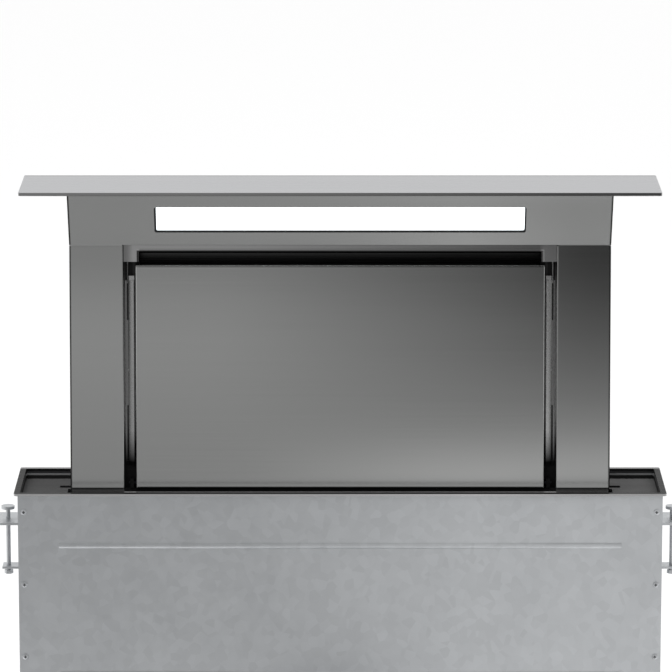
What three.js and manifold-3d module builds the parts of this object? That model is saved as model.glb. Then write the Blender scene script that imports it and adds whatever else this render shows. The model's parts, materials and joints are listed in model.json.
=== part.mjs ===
// A retractable downdraft vent: a stainless tower that rises out of a recess in the worktop, its
// housing below the worktop, the lift that raises it and the blower that draws the air down.
// Millimetres, X to the right, Y to the back, Z up. The worktop's surface is z = 0, and the tower
// is drawn raised.
import * as THREE from "three";
import { mergeVertices } from "three/addons/utils/BufferGeometryUtils.js";
import Module from "manifold-3d";

const wasm = await Module();
wasm.setup();

// ---------------------------------------------------------------- driving dimensions
const SHEET = 1.5; // stainless and zinc-plated sheet
const TOUCH = 0.3; // clearance between two pieces that are cut to fit each other
const SLIDE = 0.5; // clearance between two pieces that slide on each other
const SEAT = 0.01; // gap between faces that lie on each other in a tilted plane
const CORNER_SEGMENTS = 3; // steps in half of a round corner
const FOLD_R = 2; // outside of a folded corner

// frame that lies on the worktop
const FRAME_D = 150;
const FRAME_T = 3;
const FRAME_BORDER = 8;
const FRAME_LAP = 5; // how far the frame reaches past the housing onto the worktop
const FRAME_REBATE = 0.5; // the housing's top edge is let into the frame's underside

// housing below the worktop
const HOUSING_BOTTOM = -640;
const HOUSING_SHEET = 1.2;
const BASE_LIP = 18; // upstand round the housing's base
const LIFT_SPACE = 67.8; // from the tower's side to the housing's inner side, for rail and screw

// worktop clamps on the housing's sides
const CLAMP_W = 60;
const CLAMP_LOW = -120;
const CLAMP_HIGH = -49;
const CLAMP_REACH = 32;
const CLAMP_SHELF_W = 24;
const CLAMP_SHEET = 3;
const CLAMP_SCREW_OUT = 18; // from the housing's side to the screw
const CLAMP_SCREW_R = 3;
const CLAMP_PAD_R = 9;
const CLAMP_PAD_T = 4;
const CLAMP_PAD_Z = -32; // of the pad's face, under a worktop of that thickness
const CLAMP_HEAD_T = 5;

// recess tray inside the frame
const TRAY_RIM = -3.5;
const TRAY_FLOOR = -11;
const TRAY_GAP = 5; // round the tower's sides and front
const TRAY_GAP_BACK = 1.5;
const TRAY_GAP_STEP = 9;
const NOTCH_W = 12;
const NOTCH_FROM = 16;
const NOTCH_TO = 27;

// tower
const CAP_GAP = 3; // round the cap when it is down in its frame
const CAP_T = 5;
const CAP_TOP = 414;
const TOWER_HALF = 366;
const TOWER_BACK = 48;
const WAIST_Y = 7;
const WAIST_Z = 328.6;
const HEAD_FRONT_Y = -39;
const FOOT_Y = -24;
const FOOT_Z = -11;
const PILLAR_W = 73;
const PILLAR_TOP_GAP = 1.2; // between the pillar covers and the head
const PILLAR_FOOT = 10;
const PILLAR_RETURN = 12;
const PILLAR_CHEEK = 40;
const TOWER_BOTTOM = -125;

// light in the head
const LIGHT_HALF = 248;
const LIGHT_LOW = 24;
const LIGHT_HIGH = 66;
const LIGHT_RIM = 5;
const LIGHT_REVEAL = 2; // black rim that shows at each end of the window
const LIGHT_REVEAL_LOW = 1.6;
const LIGHT_REVEAL_HIGH = 0.8;
const LAMP_PITCH = 39;

// front panel, measured in the leaning plane of the tower's face
const PANEL_GAP = 16.5; // between the panel's side and the pillar
const PANEL_LOW = 9.5;
const PANEL_DOWN = 27.5; // from the waist down to the panel's upper edge
const PANEL_PROUD = 1;
const PANEL_DEPTH = 12;
const HINGE_PIN_R = 2.5;
const HINGE_HEIGHT = 16;
const HINGE_DEPTH = 5;
const EAR_GAP = 3.5;
const EAR_T = 5;
const FOOT_DEPTH = 4; // of the dark sheet across the tower's foot

// strip at the bottom of the gap beside the panel
const CHANNEL_DEPTH = 7.5;
const CHANNEL_STEP = 3.2; // how much deeper the strip's outer half lies
const CHANNEL_GAP = 2.2; // from the panel to the strip
const CHANNEL_GAP_OUT = 1.8; // from the strip to the pillar
const CHANNEL_OUTER_W = 3.9;
const CHANNEL_LOW = 40;
const CHANNEL_DOWN = 49; // from the waist down to the strip's upper end
const CHANNEL_SLOT_W = 2.2;
const CHANNEL_SLOT_END = 4; // from the strip's upper end to the upper slot
const CHANNEL_SLOT_H = 50;
const CHANNEL_LOWER_SLOT_H = 76;
const CHANNEL_SCREW_Z = 170;
const CHANNEL_SHELF_H = 5; // of the little shelf above the strip's upper end

// upper lip with the intake
const LIP_H = 23;
const LIP_SET_BACK = 3;
const INTAKE_DOWN = 11.5; // from the waist down to the intake's upper edge
const INTAKE_END = 22; // from the pillar to the end of the intake
const LIP_ROLL = 5; // radius of the rolled edge round the intake
const LIP_END = 5.5; // strip at each end of the lip, set back a little further

// grease filters
const FILTER_W = 262;
const FILTER_T = 9;
const FILTER_LOW = 34;
const FILTER_DOWN = 53; // from the waist down to the filters' upper edge
const FILTER_RIM = 14;
const FILTER_SLOTS = 11;
const FILTER_BAR = 5;

// lift
const SCREW_FROM_TOWER = 26;
const SCREW_R = 5;
const RAIL_D = 30;
const RAIL_W = 22;
const RAIL_WALL = 2;
const RAIL_SLOT = 14;
const CARRIAGE_LOW = -118;
const CARRIAGE_HIGH = -38;
const NUT_TOP = -70;
const PULLEY_R = 13;
const BELT_T = 2;
const BELT_W = 10;
const BELT_FROM_BOTTOM = 90;

// blower
const WHEEL_Z = -440;
const WHEEL_R = 80;
const WHEEL_DEPTH = 100;
const WHEEL_BLADES = 28;
const COLLAR_R = 75;
const COLLAR_LENGTH = 60;
const COLLAR_Z = -528;
const COLLAR_MARGIN = 5;
const OUTLET_X = 215;
const FLAP_X = OUTLET_X + 36;
const FLAP_PIN_Y = 4;
const FLAP_PIN_R = 1.5;
const MOTOR_R = 40;
const SHAFT_R = 5;

// box with the controls
const CONTROL_W = 150;
const CONTROL_H = 140;
const CONTROL_D = 58;
const CONTROL_TOP = -340;
const CONTROL_FROM_SIDE = 33;

// derived
const LEAN = Math.atan((WAIST_Y - FOOT_Y) / (WAIST_Z - FOOT_Z));
const FACE_H = Math.hypot(WAIST_Y - FOOT_Y, WAIST_Z - FOOT_Z);
const CAP_BOTTOM = CAP_TOP - CAP_T;
const STROKE = CAP_TOP - FRAME_T;
const INNER_X = TOWER_HALF + LIFT_SPACE;
const WALL_X = INNER_X + HOUSING_SHEET;
const FRAME_W = 2 * (WALL_X + FRAME_LAP);
const WALL_Y = FRAME_D / 2 - FRAME_LAP;
const INNER_Y = WALL_Y - HOUSING_SHEET;
const CAP_W = FRAME_W - 2 * (FRAME_BORDER + CAP_GAP);
const CAP_D = FRAME_D - 2 * (FRAME_BORDER + CAP_GAP);
const TRAY_HOLE_HALF = TOWER_HALF + TRAY_GAP;
const TRAY_HOLE_BACK_HALF = TOWER_HALF + TRAY_GAP_BACK;
const TRAY_HOLE_FRONT = HEAD_FRONT_Y - TRAY_GAP;
const TRAY_HOLE_BACK = TOWER_BACK + 3;
const PILLAR_INNER = TOWER_HALF - PILLAR_W;
const CARCASS_HALF = TOWER_HALF - SHEET;
const PANEL_HALF = PILLAR_INNER - PANEL_GAP;
const PANEL_HIGH = FACE_H - PANEL_DOWN;
const CHANNEL_HIGH = FACE_H - CHANNEL_DOWN;
const LIP_LOW = FACE_H - LIP_H;
const INTAKE_HIGH = FACE_H - INTAKE_DOWN;
const FILTER_H = FACE_H - FILTER_DOWN - FILTER_LOW;
const FACE_BACK = PANEL_DEPTH + 1;
const INTAKE_HALF = PILLAR_INNER - INTAKE_END;
const FILTER_X = FILTER_W / 2 + 8;
const SCREW_X = TOWER_HALF + SCREW_FROM_TOWER;
const SCREW_Y = RAIL_D / 2 + 12;
const BELT_TOP = HOUSING_BOTTOM + BELT_FROM_BOTTOM;
const SCROLL_DEPTH = 2 * (COLLAR_R + COLLAR_MARGIN);
const SCROLL_BACK = -WALL_Y;
const SCROLL_FRONT = SCROLL_BACK - SCROLL_DEPTH;
const COLLAR_Y = (SCROLL_BACK + SCROLL_FRONT) / 2;
const FLAP_EYES = [COLLAR_Z - COLLAR_R + 18, COLLAR_Z + COLLAR_R - 18];
const CONTROL_X = [-WALL_X + CONTROL_FROM_SIDE, -WALL_X + CONTROL_FROM_SIDE + CONTROL_W];
const CONTROL_Z = [CONTROL_TOP - CONTROL_H, CONTROL_TOP];

// ---------------------------------------------------------------- materials
const finish = (color, roughness, metalness) =>
  new THREE.MeshStandardMaterial({ color, roughness, metalness });
const brushed = finish(0x8a8c8c, 0.32, 1);
const bright = finish(0xc4c7c8, 0.22, 1);
const zinc = finish(0x9a9fa3, 0.45, 1);
const dark = finish(0x3a3c3d, 0.5, 0.6);
const rubber = finish(0x0d0d0e, 0.8, 0);
const nylon = finish(0xd9d6cc, 0.55, 0);
const black = finish(0x161718, 0.5, 0);
const brass = finish(0xb08d48, 0.35, 1);
const aluminium = finish(0xb4b7ba, 0.38, 1);
const lit = finish(0xf6fbff, 0.4, 0);
lit.emissive = new THREE.Color(0xf6fbff);
const board = finish(0x1f5a37, 0.6, 0);

// ---------------------------------------------------------------- solids
function toSolid(geometry) {
  const plain = geometry.clone();
  plain.deleteAttribute("normal");
  plain.deleteAttribute("uv");
  const merged = mergeVertices(plain, 1e-4);
  const mesh = new wasm.Mesh({
    numProp: 3,
    vertProperties: Float32Array.from(merged.attributes.position.array),
    triVerts: Uint32Array.from(merged.index.array),
  });
  return new wasm.Manifold(mesh);
}

function toGeometry(solid) {
  const mesh = solid.getMesh();
  const geometry = new THREE.BufferGeometry();
  geometry.setAttribute("position", new THREE.Float32BufferAttribute(mesh.vertProperties, 3));
  geometry.setIndex([...mesh.triVerts]);
  const flat = geometry.toNonIndexed();
  flat.computeVertexNormals();
  return flat;
}

// box between two corners
function box(x0, x1, y0, y1, z0, z1) {
  const geometry = new THREE.BoxGeometry(x1 - x0, y1 - y0, z1 - z0);
  geometry.translate((x0 + x1) / 2, (y0 + y1) / 2, (z0 + z1) / 2);
  return toSolid(geometry);
}

// round bar or ring between two points on one axis
function bar(axis, u, v, from, to, radius, bore = 0, sides = 24) {
  const outline = new THREE.Shape();
  outline.absarc(0, 0, radius, 0, 2 * Math.PI, false);
  if (bore > 0) {
    const hole = new THREE.Path();
    hole.absarc(0, 0, bore, 0, 2 * Math.PI, true);
    outline.holes.push(hole);
  }
  const geometry = new THREE.ExtrudeGeometry(outline, {
    depth: to - from,
    bevelEnabled: false,
    curveSegments: sides / 2,
  });
  geometry.translate(0, 0, from);
  if (axis === "x") {
    geometry.rotateX(Math.PI / 2);
    geometry.rotateZ(Math.PI / 2);
    geometry.translate(0, u, v);
  }
  if (axis === "y") {
    geometry.rotateX(-Math.PI / 2);
    geometry.translate(u, 0, v);
  }
  if (axis === "z") {
    geometry.translate(u, v, 0);
  }
  return toSolid(geometry);
}

function outlineOf(points) {
  return new THREE.Shape(points.map(([a, b]) => new THREE.Vector2(a, b)));
}

// outline in XY, drawn up from z0 to z1
function plateXY(shape, z0, z1, curveSegments = CORNER_SEGMENTS) {
  const geometry = new THREE.ExtrudeGeometry(shape, {
    depth: z1 - z0,
    bevelEnabled: false,
    curveSegments,
  });
  geometry.translate(0, 0, z0);
  return toSolid(geometry);
}

// outline in YZ, drawn across from x0 to x1
function profileX(points, x0, x1) {
  const geometry = new THREE.ExtrudeGeometry(foldedOutline(points), {
    depth: x1 - x0,
    bevelEnabled: false,
    curveSegments: CORNER_SEGMENTS,
  });
  geometry.rotateX(Math.PI / 2);
  geometry.rotateZ(Math.PI / 2);
  geometry.translate(x0, 0, 0);
  return toSolid(geometry);
}

// outline in XZ, drawn from the front y0 to the back y1
function plateXZ(shape, y0, y1, curveSegments = CORNER_SEGMENTS) {
  const geometry = new THREE.ExtrudeGeometry(shape, {
    depth: y1 - y0,
    bevelEnabled: false,
    curveSegments,
  });
  geometry.rotateX(Math.PI / 2);
  geometry.translate(0, y1, 0);
  return toSolid(geometry);
}

// rectangle with round corners as an outline or a hole
function roundedRect(x0, x1, y0, y1, r, Kind = THREE.Shape) {
  const path = new Kind();
  path.moveTo(x0 + r, y0);
  path.lineTo(x1 - r, y0);
  path.absarc(x1 - r, y0 + r, r, -Math.PI / 2, 0, false);
  path.lineTo(x1, y1 - r);
  path.absarc(x1 - r, y1 - r, r, 0, Math.PI / 2, false);
  path.lineTo(x0 + r, y1);
  path.absarc(x0 + r, y1 - r, r, Math.PI / 2, Math.PI, false);
  path.lineTo(x0, y0 + r);
  path.absarc(x0 + r, y0 + r, r, Math.PI, 1.5 * Math.PI, false);
  return path;
}

// outline of corners [x, y, radius]; a corner without a radius stays sharp
function foldedOutline(corners) {
  const count = corners.length;
  const shape = new THREE.Shape();
  corners.forEach(([x, y, r = 0], i) => {
    const [backX, backY] = corners[(i + count - 1) % count];
    const [aheadX, aheadY] = corners[(i + 1) % count];
    const back = new THREE.Vector2(backX - x, backY - y).setLength(r);
    const ahead = new THREE.Vector2(aheadX - x, aheadY - y).setLength(r);
    if (i === 0) {
      shape.moveTo(x + back.x, y + back.y);
    } else {
      shape.lineTo(x + back.x, y + back.y);
    }
    if (r > 0) {
      shape.quadraticCurveTo(x, y, x + ahead.x, y + ahead.y);
    }
  });
  return shape;
}

function rectangle(x0, x1, y0, y1, Kind = THREE.Shape) {
  const path = new Kind();
  path.moveTo(x0, y0);
  path.lineTo(x1, y0);
  path.lineTo(x1, y1);
  path.lineTo(x0, y1);
  path.closePath();
  return path;
}

const joinAll = (solids) => solids.reduce((sum, next) => sum.add(next));
const mirrored = (solid) => solid.mirror([1, 0, 0]);

// ---------------------------------------------------------------- scene graph
const vent = new THREE.Group();
vent.name = "downdraft_vent";

// everything on the tower's front lies in the leaning plane of its face
const face = new THREE.Group();
face.position.set(0, FOOT_Y, FOOT_Z);
face.rotation.x = -LEAN;
vent.add(face);

// the light lies in the plane of the head's sloping front
const HEAD_TILT = Math.atan((WAIST_Y - HEAD_FRONT_Y) / (CAP_BOTTOM - WAIST_Z));
const headFace = new THREE.Group();
headFace.position.set(0, WAIST_Y, WAIST_Z);
headFace.rotation.x = HEAD_TILT;
vent.add(headFace);

function place(name, solid, material, parent = vent) {
  const mesh = new THREE.Mesh(toGeometry(solid), material);
  mesh.name = name;
  parent.add(mesh);
  return mesh;
}

function placePair(name, solid, material, parent = vent) {
  place(`${name}_right`, solid, material, parent);
  place(`${name}_left`, mirrored(solid), material, parent);
}

// a point of the leaning face plane in the object's frame
function onFace(depth, height) {
  return [
    FOOT_Y + height * Math.sin(LEAN) + depth * Math.cos(LEAN),
    FOOT_Z + height * Math.cos(LEAN) - depth * Math.sin(LEAN),
  ];
}

// ---------------------------------------------------------------- frame, tray and housing
function topFrame() {
  const outer = roundedRect(-FRAME_W / 2, FRAME_W / 2, -FRAME_D / 2, FRAME_D / 2, 3);
  const x = FRAME_W / 2 - FRAME_BORDER;
  const y = FRAME_D / 2 - FRAME_BORDER;
  outer.holes.push(roundedRect(-x, x, -y, y, 2, THREE.Path));
  const seat = TOUCH / 2;
  const rebate = box(
    -WALL_X - seat,
    WALL_X + seat,
    -WALL_Y - seat,
    WALL_Y + seat,
    -1,
    FRAME_REBATE,
  );
  return plateXY(outer, 0, FRAME_T).subtract(rebate);
}

function frameGasket() {
  const outer = rectangle(-INNER_X, INNER_X, -INNER_Y, INNER_Y);
  const x = FRAME_W / 2 - FRAME_BORDER + 0.5;
  const y = FRAME_D / 2 - FRAME_BORDER + 0.5;
  outer.holes.push(rectangle(-x, x, -y, y, THREE.Path));
  return plateXY(outer, TRAY_RIM, FRAME_REBATE);
}

function towerOpening() {
  const hole = new THREE.Path();
  const notchIn = TRAY_HOLE_HALF + NOTCH_W;
  const right = [
    [TRAY_HOLE_HALF, TRAY_HOLE_FRONT],
    [TRAY_HOLE_HALF, TRAY_GAP_STEP],
    [TRAY_HOLE_BACK_HALF, TRAY_GAP_STEP],
    [TRAY_HOLE_BACK_HALF, NOTCH_FROM],
    [notchIn, NOTCH_FROM],
    [notchIn, NOTCH_TO],
    [TRAY_HOLE_BACK_HALF, NOTCH_TO],
    [TRAY_HOLE_BACK_HALF, TRAY_HOLE_BACK],
  ];
  const left = right.map(([x, y]) => [-x, y]).reverse();
  const points = [...right, ...left];
  hole.setFromPoints(points.map(([x, y]) => new THREE.Vector2(x, y)));
  return hole;
}

function recessTray() {
  const x = INNER_X - TOUCH;
  const y = INNER_Y - TOUCH;
  const outer = roundedRect(-x, x, -y, y, 1.5);
  const floor = roundedRect(-x, x, -y, y, 1.5);
  floor.holes.push(towerOpening());
  outer.holes.push(roundedRect(-x + SHEET, x - SHEET, -y + SHEET, y - SHEET, 0.5, THREE.Path));
  return plateXY(floor, TRAY_FLOOR - SHEET, TRAY_FLOOR).add(
    plateXY(outer, TRAY_FLOOR - SHEET, TRAY_RIM),
  );
}

// back sheet with both sides folded forward
function housingRear() {
  const top = FRAME_REBATE;
  const shell = box(-WALL_X, WALL_X, -INNER_Y, WALL_Y, HOUSING_BOTTOM, top);
  const inside = box(-INNER_X, INNER_X, -WALL_Y - 1, INNER_Y, HOUSING_BOTTOM - 1, 1);
  return shell.subtract(inside);
}

function housingFront() {
  const sheet = rectangle(-WALL_X, WALL_X, HOUSING_BOTTOM, FRAME_REBATE);
  const inlet = new THREE.Path();
  inlet.absarc(0, WHEEL_Z, WHEEL_R - 14, 0, 2 * Math.PI, true);
  sheet.holes.push(inlet);
  return plateXZ(sheet, -WALL_Y, -INNER_Y, 24);
}

function housingBase() {
  const floor = box(-INNER_X, INNER_X, -INNER_Y, INNER_Y, HOUSING_BOTTOM, HOUSING_BOTTOM + SHEET);
  const lips = [
    box(-INNER_X, INNER_X, -INNER_Y, -INNER_Y + SHEET, HOUSING_BOTTOM, HOUSING_BOTTOM + BASE_LIP),
    box(-INNER_X, INNER_X, INNER_Y - SHEET, INNER_Y, HOUSING_BOTTOM, HOUSING_BOTTOM + BASE_LIP),
  ];
  return joinAll([floor, ...lips]);
}

// bracket on the housing's side whose screw is run up against the worktop's underside
function clampBracket() {
  const half = CLAMP_W / 2;
  const shelfHalf = CLAMP_SHELF_W / 2;
  const shelfLow = CLAMP_LOW + 2;
  const screw = WALL_X + CLAMP_SCREW_OUT;
  const below = CLAMP_PAD_Z - CLAMP_PAD_T;
  const plate = box(WALL_X, WALL_X + 2, -half, half, CLAMP_LOW, CLAMP_HIGH - CLAMP_SHEET);
  const foot = box(WALL_X, WALL_X + CLAMP_REACH, -half, half, CLAMP_HIGH - CLAMP_SHEET, CLAMP_HIGH);
  const shelf = box(
    WALL_X,
    WALL_X + CLAMP_REACH - 6,
    -shelfHalf,
    shelfHalf,
    shelfLow,
    shelfLow + CLAMP_SHEET,
  );
  const shank = bar("z", screw, 0, CLAMP_LOW - 2, below, CLAMP_SCREW_R, 0, 16);
  const pad = bar("z", screw, 0, below, CLAMP_PAD_Z, CLAMP_PAD_R, 0, 24);
  const head = bar("z", screw, 0, CLAMP_LOW - 2 - CLAMP_HEAD_T, CLAMP_LOW - 2, CLAMP_SCREW_R * 2, 0, 6);
  return joinAll([plate, foot, shelf, shank, pad, head]);
}

place("top_frame", topFrame(), bright);
place("frame_gasket", frameGasket(), rubber);
place("recess_tray", recessTray(), dark);
place("housing_rear", housingRear(), zinc);
place("housing_front", housingFront(), zinc);
place("housing_base", housingBase(), zinc);
placePair("worktop_clamp", clampBracket(), zinc);

// ---------------------------------------------------------------- tower
function capPlate() {
  const edge = 0.6;
  const outline = roundedRect(
    -CAP_W / 2 + edge,
    CAP_W / 2 - edge,
    -CAP_D / 2 + edge,
    CAP_D / 2 - edge,
    1.5,
  );
  const geometry = new THREE.ExtrudeGeometry(outline, {
    depth: CAP_T - 2 * edge,
    bevelEnabled: true,
    bevelThickness: edge,
    bevelSize: edge,
    bevelSegments: 1,
    curveSegments: 3,
  });
  geometry.translate(0, 0, CAP_BOTTOM + edge);
  return toSolid(geometry);
}

// sloping front, top, back and cheeks of the light box, open below
function headShell() {
  const low = WAIST_Z + TOUCH;
  const slope = (HEAD_FRONT_Y - WAIST_Y) / (CAP_BOTTOM - WAIST_Z);
  const lowY = WAIST_Y + slope * TOUCH;
  const outer = profileX(
    [
      [lowY, low],
      [TOWER_BACK, low],
      [TOWER_BACK, CAP_BOTTOM],
      [HEAD_FRONT_Y, CAP_BOTTOM],
    ],
    -TOWER_HALF,
    TOWER_HALF,
  );
  const skin = SHEET / Math.cos(HEAD_TILT);
  const top = CAP_BOTTOM - SHEET;
  const inner = profileX(
    [
      [lowY + skin - slope, low - 1],
      [TOWER_BACK - SHEET, low - 1],
      [TOWER_BACK - SHEET, top],
      [HEAD_FRONT_Y + skin - slope * SHEET, top],
    ],
    -TOWER_HALF + SHEET,
    TOWER_HALF - SHEET,
  );
  const half = LIGHT_HALF + LIGHT_REVEAL;
  const outline = roundedRect(
    -half,
    half,
    LIGHT_LOW - LIGHT_REVEAL_LOW,
    LIGHT_HIGH + LIGHT_REVEAL_HIGH,
    3,
  );
  const window = plateXZ(outline, -10, 10)
    .rotate([THREE.MathUtils.radToDeg(HEAD_TILT), 0, 0])
    .translate([0, WAIST_Y, WAIST_Z]);
  return outer.subtract(inner).subtract(window);
}

// the light's own outline, a rim wider than its window
const LIGHT_OUTER = [LIGHT_HALF + LIGHT_REVEAL + LIGHT_RIM, LIGHT_LOW - LIGHT_RIM, LIGHT_HIGH + LIGHT_RIM];

// black rim that seals the light behind its window
function lightGasket() {
  const [x, low, high] = LIGHT_OUTER;
  const ring = roundedRect(-x, x, low, high, 2);
  ring.holes.push(roundedRect(-LIGHT_HALF, LIGHT_HALF, LIGHT_LOW, LIGHT_HIGH, 2.5, THREE.Path));
  return plateXZ(ring, SHEET, SHEET + 1.5);
}

function lightDiffuser() {
  const [x, low, high] = LIGHT_OUTER;
  const front = SHEET + 1.5 + SEAT;
  return box(-x, x, front, front + 2 - SEAT, low, high);
}

// tray behind the diffuser that carries the strip of lamps
function lightTray() {
  const [x, low, high] = LIGHT_OUTER;
  const front = SHEET + 3.5 + SEAT;
  const block = box(-x, x, front, front + 12, low, high);
  const inside = box(-x + 1, x - 1, front - 1, front + 11, low + 1, high - 1);
  return block.subtract(inside);
}

function lightStrip() {
  const back = SHEET + 3.5 + 11;
  const middle = (LIGHT_LOW + LIGHT_HIGH) / 2;
  const strip = box(-LIGHT_HALF, LIGHT_HALF, back - 1.6, back, middle - 6, middle + 6);
  const lamps = [];
  const last = Math.floor((LIGHT_HALF - 10) / LAMP_PITCH);
  for (let i = -last; i <= last; i += 1) {
    const x = i * LAMP_PITCH;
    lamps.push(box(x - 3, x + 3, back - 3, back - 1, middle - 3, middle + 3));
  }
  return joinAll([strip, ...lamps]);
}

// front, outer cheek and inner return folded from one sheet
function pillarCover() {
  const low = PILLAR_FOOT;
  const high = FACE_H - PILLAR_TOP_GAP;
  const profile = foldedOutline([
    [PILLAR_INNER, PILLAR_RETURN],
    [PILLAR_INNER, 0, FOLD_R],
    [TOWER_HALF, 0, FOLD_R],
    [TOWER_HALF, PILLAR_CHEEK],
    [TOWER_HALF - SHEET, PILLAR_CHEEK],
    [TOWER_HALF - SHEET, SHEET, FOLD_R - SHEET],
    [PILLAR_INNER + SHEET, SHEET, FOLD_R - SHEET],
    [PILLAR_INNER + SHEET, PILLAR_RETURN],
  ]);
  return plateXY(profile, low, high, 4);
}

// back, sides and floor flange that everything on the tower is screwed to
function towerCarcass() {
  const [frontTopY, frontTopZ] = onFace(FACE_BACK, FACE_H);
  const [footY] = onFace(FACE_BACK, 0);
  const bottomY = footY + (TOWER_BOTTOM - FOOT_Z) * Math.tan(LEAN);
  const top = WAIST_Z + TOUCH;
  const topY = frontTopY + (top - frontTopZ) * Math.tan(LEAN);
  const side = [
    [bottomY, TOWER_BOTTOM],
    [TOWER_BACK, TOWER_BOTTOM],
    [TOWER_BACK, top],
    [topY, top],
  ];
  const inside = [
    [bottomY - 40, TOWER_BOTTOM - 1],
    [TOWER_BACK - SHEET, TOWER_BOTTOM - 1],
    [TOWER_BACK - SHEET, top + 1],
    [topY - 60, top + 1],
  ];
  return profileX(side, -CARCASS_HALF, CARCASS_HALF).subtract(
    profileX(inside, -CARCASS_HALF + SHEET, CARCASS_HALF - SHEET),
  );
}

// sheet across the tower behind the front panel, with an opening for each filter
function filterFrame() {
  const half = CARCASS_HALF - SHEET;
  const outer = outlineOf([
    [-half, 6],
    [half, 6],
    [half, FACE_H - 6],
    [-half, FACE_H - 6],
  ]);
  const rim = 8;
  const w = FILTER_W / 2 - rim;
  for (const x of [-FILTER_X, FILTER_X]) {
    outer.holes.push(
      roundedRect(x - w, x + w, FILTER_LOW + rim, FILTER_LOW + FILTER_H - rim, 3, THREE.Path),
    );
  }
  outer.holes.push(roundedRect(-INTAKE_HALF, INTAKE_HALF, LIP_LOW - 12, FACE_H - 10, 4, THREE.Path));
  return plateXZ(outer, FACE_BACK, FACE_BACK + SHEET);
}

// frame with slots, which carries the layers of mesh
function greaseFilter() {
  const w = FILTER_W / 2;
  const outer = roundedRect(-w, w, 0, FILTER_H, 3);
  const inner = w - FILTER_RIM;
  const pitch = (FILTER_H - 2 * FILTER_RIM) / FILTER_SLOTS;
  for (let i = 0; i < FILTER_SLOTS; i += 1) {
    const low = FILTER_RIM + i * pitch + FILTER_BAR / 2;
    outer.holes.push(rectangle(-inner, inner, low, low + pitch - FILTER_BAR, THREE.Path));
  }
  return plateXZ(outer, 0, FILTER_T);
}

function filterHandle() {
  const plate = box(-22, 22, -2, 0, 108, 138);
  const cup = box(-16, 16, -3, 1, 114, 130);
  const grip = box(-16, 16, -5, -2, 126, 131);
  return plate.subtract(cup).add(grip);
}

// round bead along the intake's upper edge and both its ends
function lipRoll() {
  const r = LIP_ROLL;
  const y = LIP_SET_BACK;
  const x0 = INTAKE_HALF;
  const x1 = INTAKE_HALF + r;
  const z = INTAKE_HIGH + r;
  const top = bar("x", y + r, z, -x1, x1, r, 0, 32).intersect(
    box(-x1, x1, y, y + r, INTAKE_HIGH, z),
  );
  const end = bar("z", x1, y + r, LIP_LOW, z, r, 0, 32).intersect(
    box(x0, x1, y, y + r, LIP_LOW, z),
  );
  return joinAll([top, end, mirrored(end)]);
}

// lip over the panel, with the long intake cut in its lower edge
function upperLip() {
  const x = PILLAR_INNER - TOUCH;
  const inner = x - LIP_END;
  const high = FACE_H - TOUCH;
  const y = LIP_SET_BACK;
  const strip = box(-x, x, y + 1, y + 1 + SHEET, LIP_LOW, high);
  const front = box(-inner, inner, y, y + SHEET, LIP_LOW, high);
  const sill = box(-x, x, y + 1, FACE_BACK, LIP_LOW, LIP_LOW + SHEET);
  const half = INTAKE_HALF + LIP_ROLL;
  const intake = box(-half, half, y - 1, FACE_BACK + 1, LIP_LOW - 1, INTAKE_HIGH + LIP_ROLL);
  return joinAll([strip, front, sill]).subtract(intake).add(lipRoll());
}

// sheet folded into a slanting strip beside the panel and a narrow flat one beside the pillar
function channelProfile(x0, x1, step) {
  const y = CHANNEL_DEPTH;
  const deep = y + CHANNEL_STEP;
  return outlineOf([
    [x0, deep + SHEET],
    [x0, y + 0.8],
    [x0 + 0.8, y],
    [step, deep],
    [x1, deep],
    [x1, deep + SHEET],
    [step - 0.3, deep + SHEET],
    [x0 + SHEET, y + SHEET + 0.4],
    [x0 + SHEET, deep + SHEET],
  ]);
}

// strip down each side of the panel, with its two slots and its screw, the small shelf on top and
// the thin rod that the panel's catch closes on
function sideChannel() {
  const y = CHANNEL_DEPTH;
  const deep = y + CHANNEL_STEP;
  const x0 = PANEL_HALF + CHANNEL_GAP;
  const x1 = PILLAR_INNER - CHANNEL_GAP_OUT;
  const step = x1 - CHANNEL_OUTER_W;
  const line = step + CHANNEL_SLOT_W / 2 - 0.6;
  const strip = plateXY(channelProfile(x0, x1, step), CHANNEL_LOW, CHANNEL_HIGH);
  const slotIn = line - CHANNEL_SLOT_W / 2;
  const slotOut = line + CHANNEL_SLOT_W / 2;
  const high = CHANNEL_HIGH - CHANNEL_SLOT_END;
  const low = CHANNEL_LOW + CHANNEL_SLOT_END + SHEET;
  const upper = box(slotIn, slotOut, y, deep + 2, high - CHANNEL_SLOT_H, high);
  const lower = box(slotIn, slotOut, y, deep + 2, low, low + CHANNEL_LOWER_SLOT_H);
  const top = CHANNEL_HIGH + CHANNEL_SHELF_H;
  const shelf = box(x0, slotIn - 0.5, y - 0.5, FACE_BACK, top, top + SHEET);
  const web = box(x0, slotIn - 0.5, deep, FACE_BACK, CHANNEL_HIGH - 4, top + SHEET);
  const foot = box(x0, x1, deep, FACE_BACK, CHANNEL_LOW, CHANNEL_LOW + 4);
  const head = box(x0, x1, deep, FACE_BACK, CHANNEL_HIGH - 3, CHANNEL_HIGH);
  const screw = bar("y", line, CHANNEL_SCREW_Z, deep - 1, deep + 1, 1.8, 0, 16);
  const rod = bar("z", line, deep, CHANNEL_HIGH - 3, LIP_LOW, 1, 0, 12);
  return joinAll([strip.subtract(upper).subtract(lower), shelf, web, foot, head, screw, rod]);
}

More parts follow.
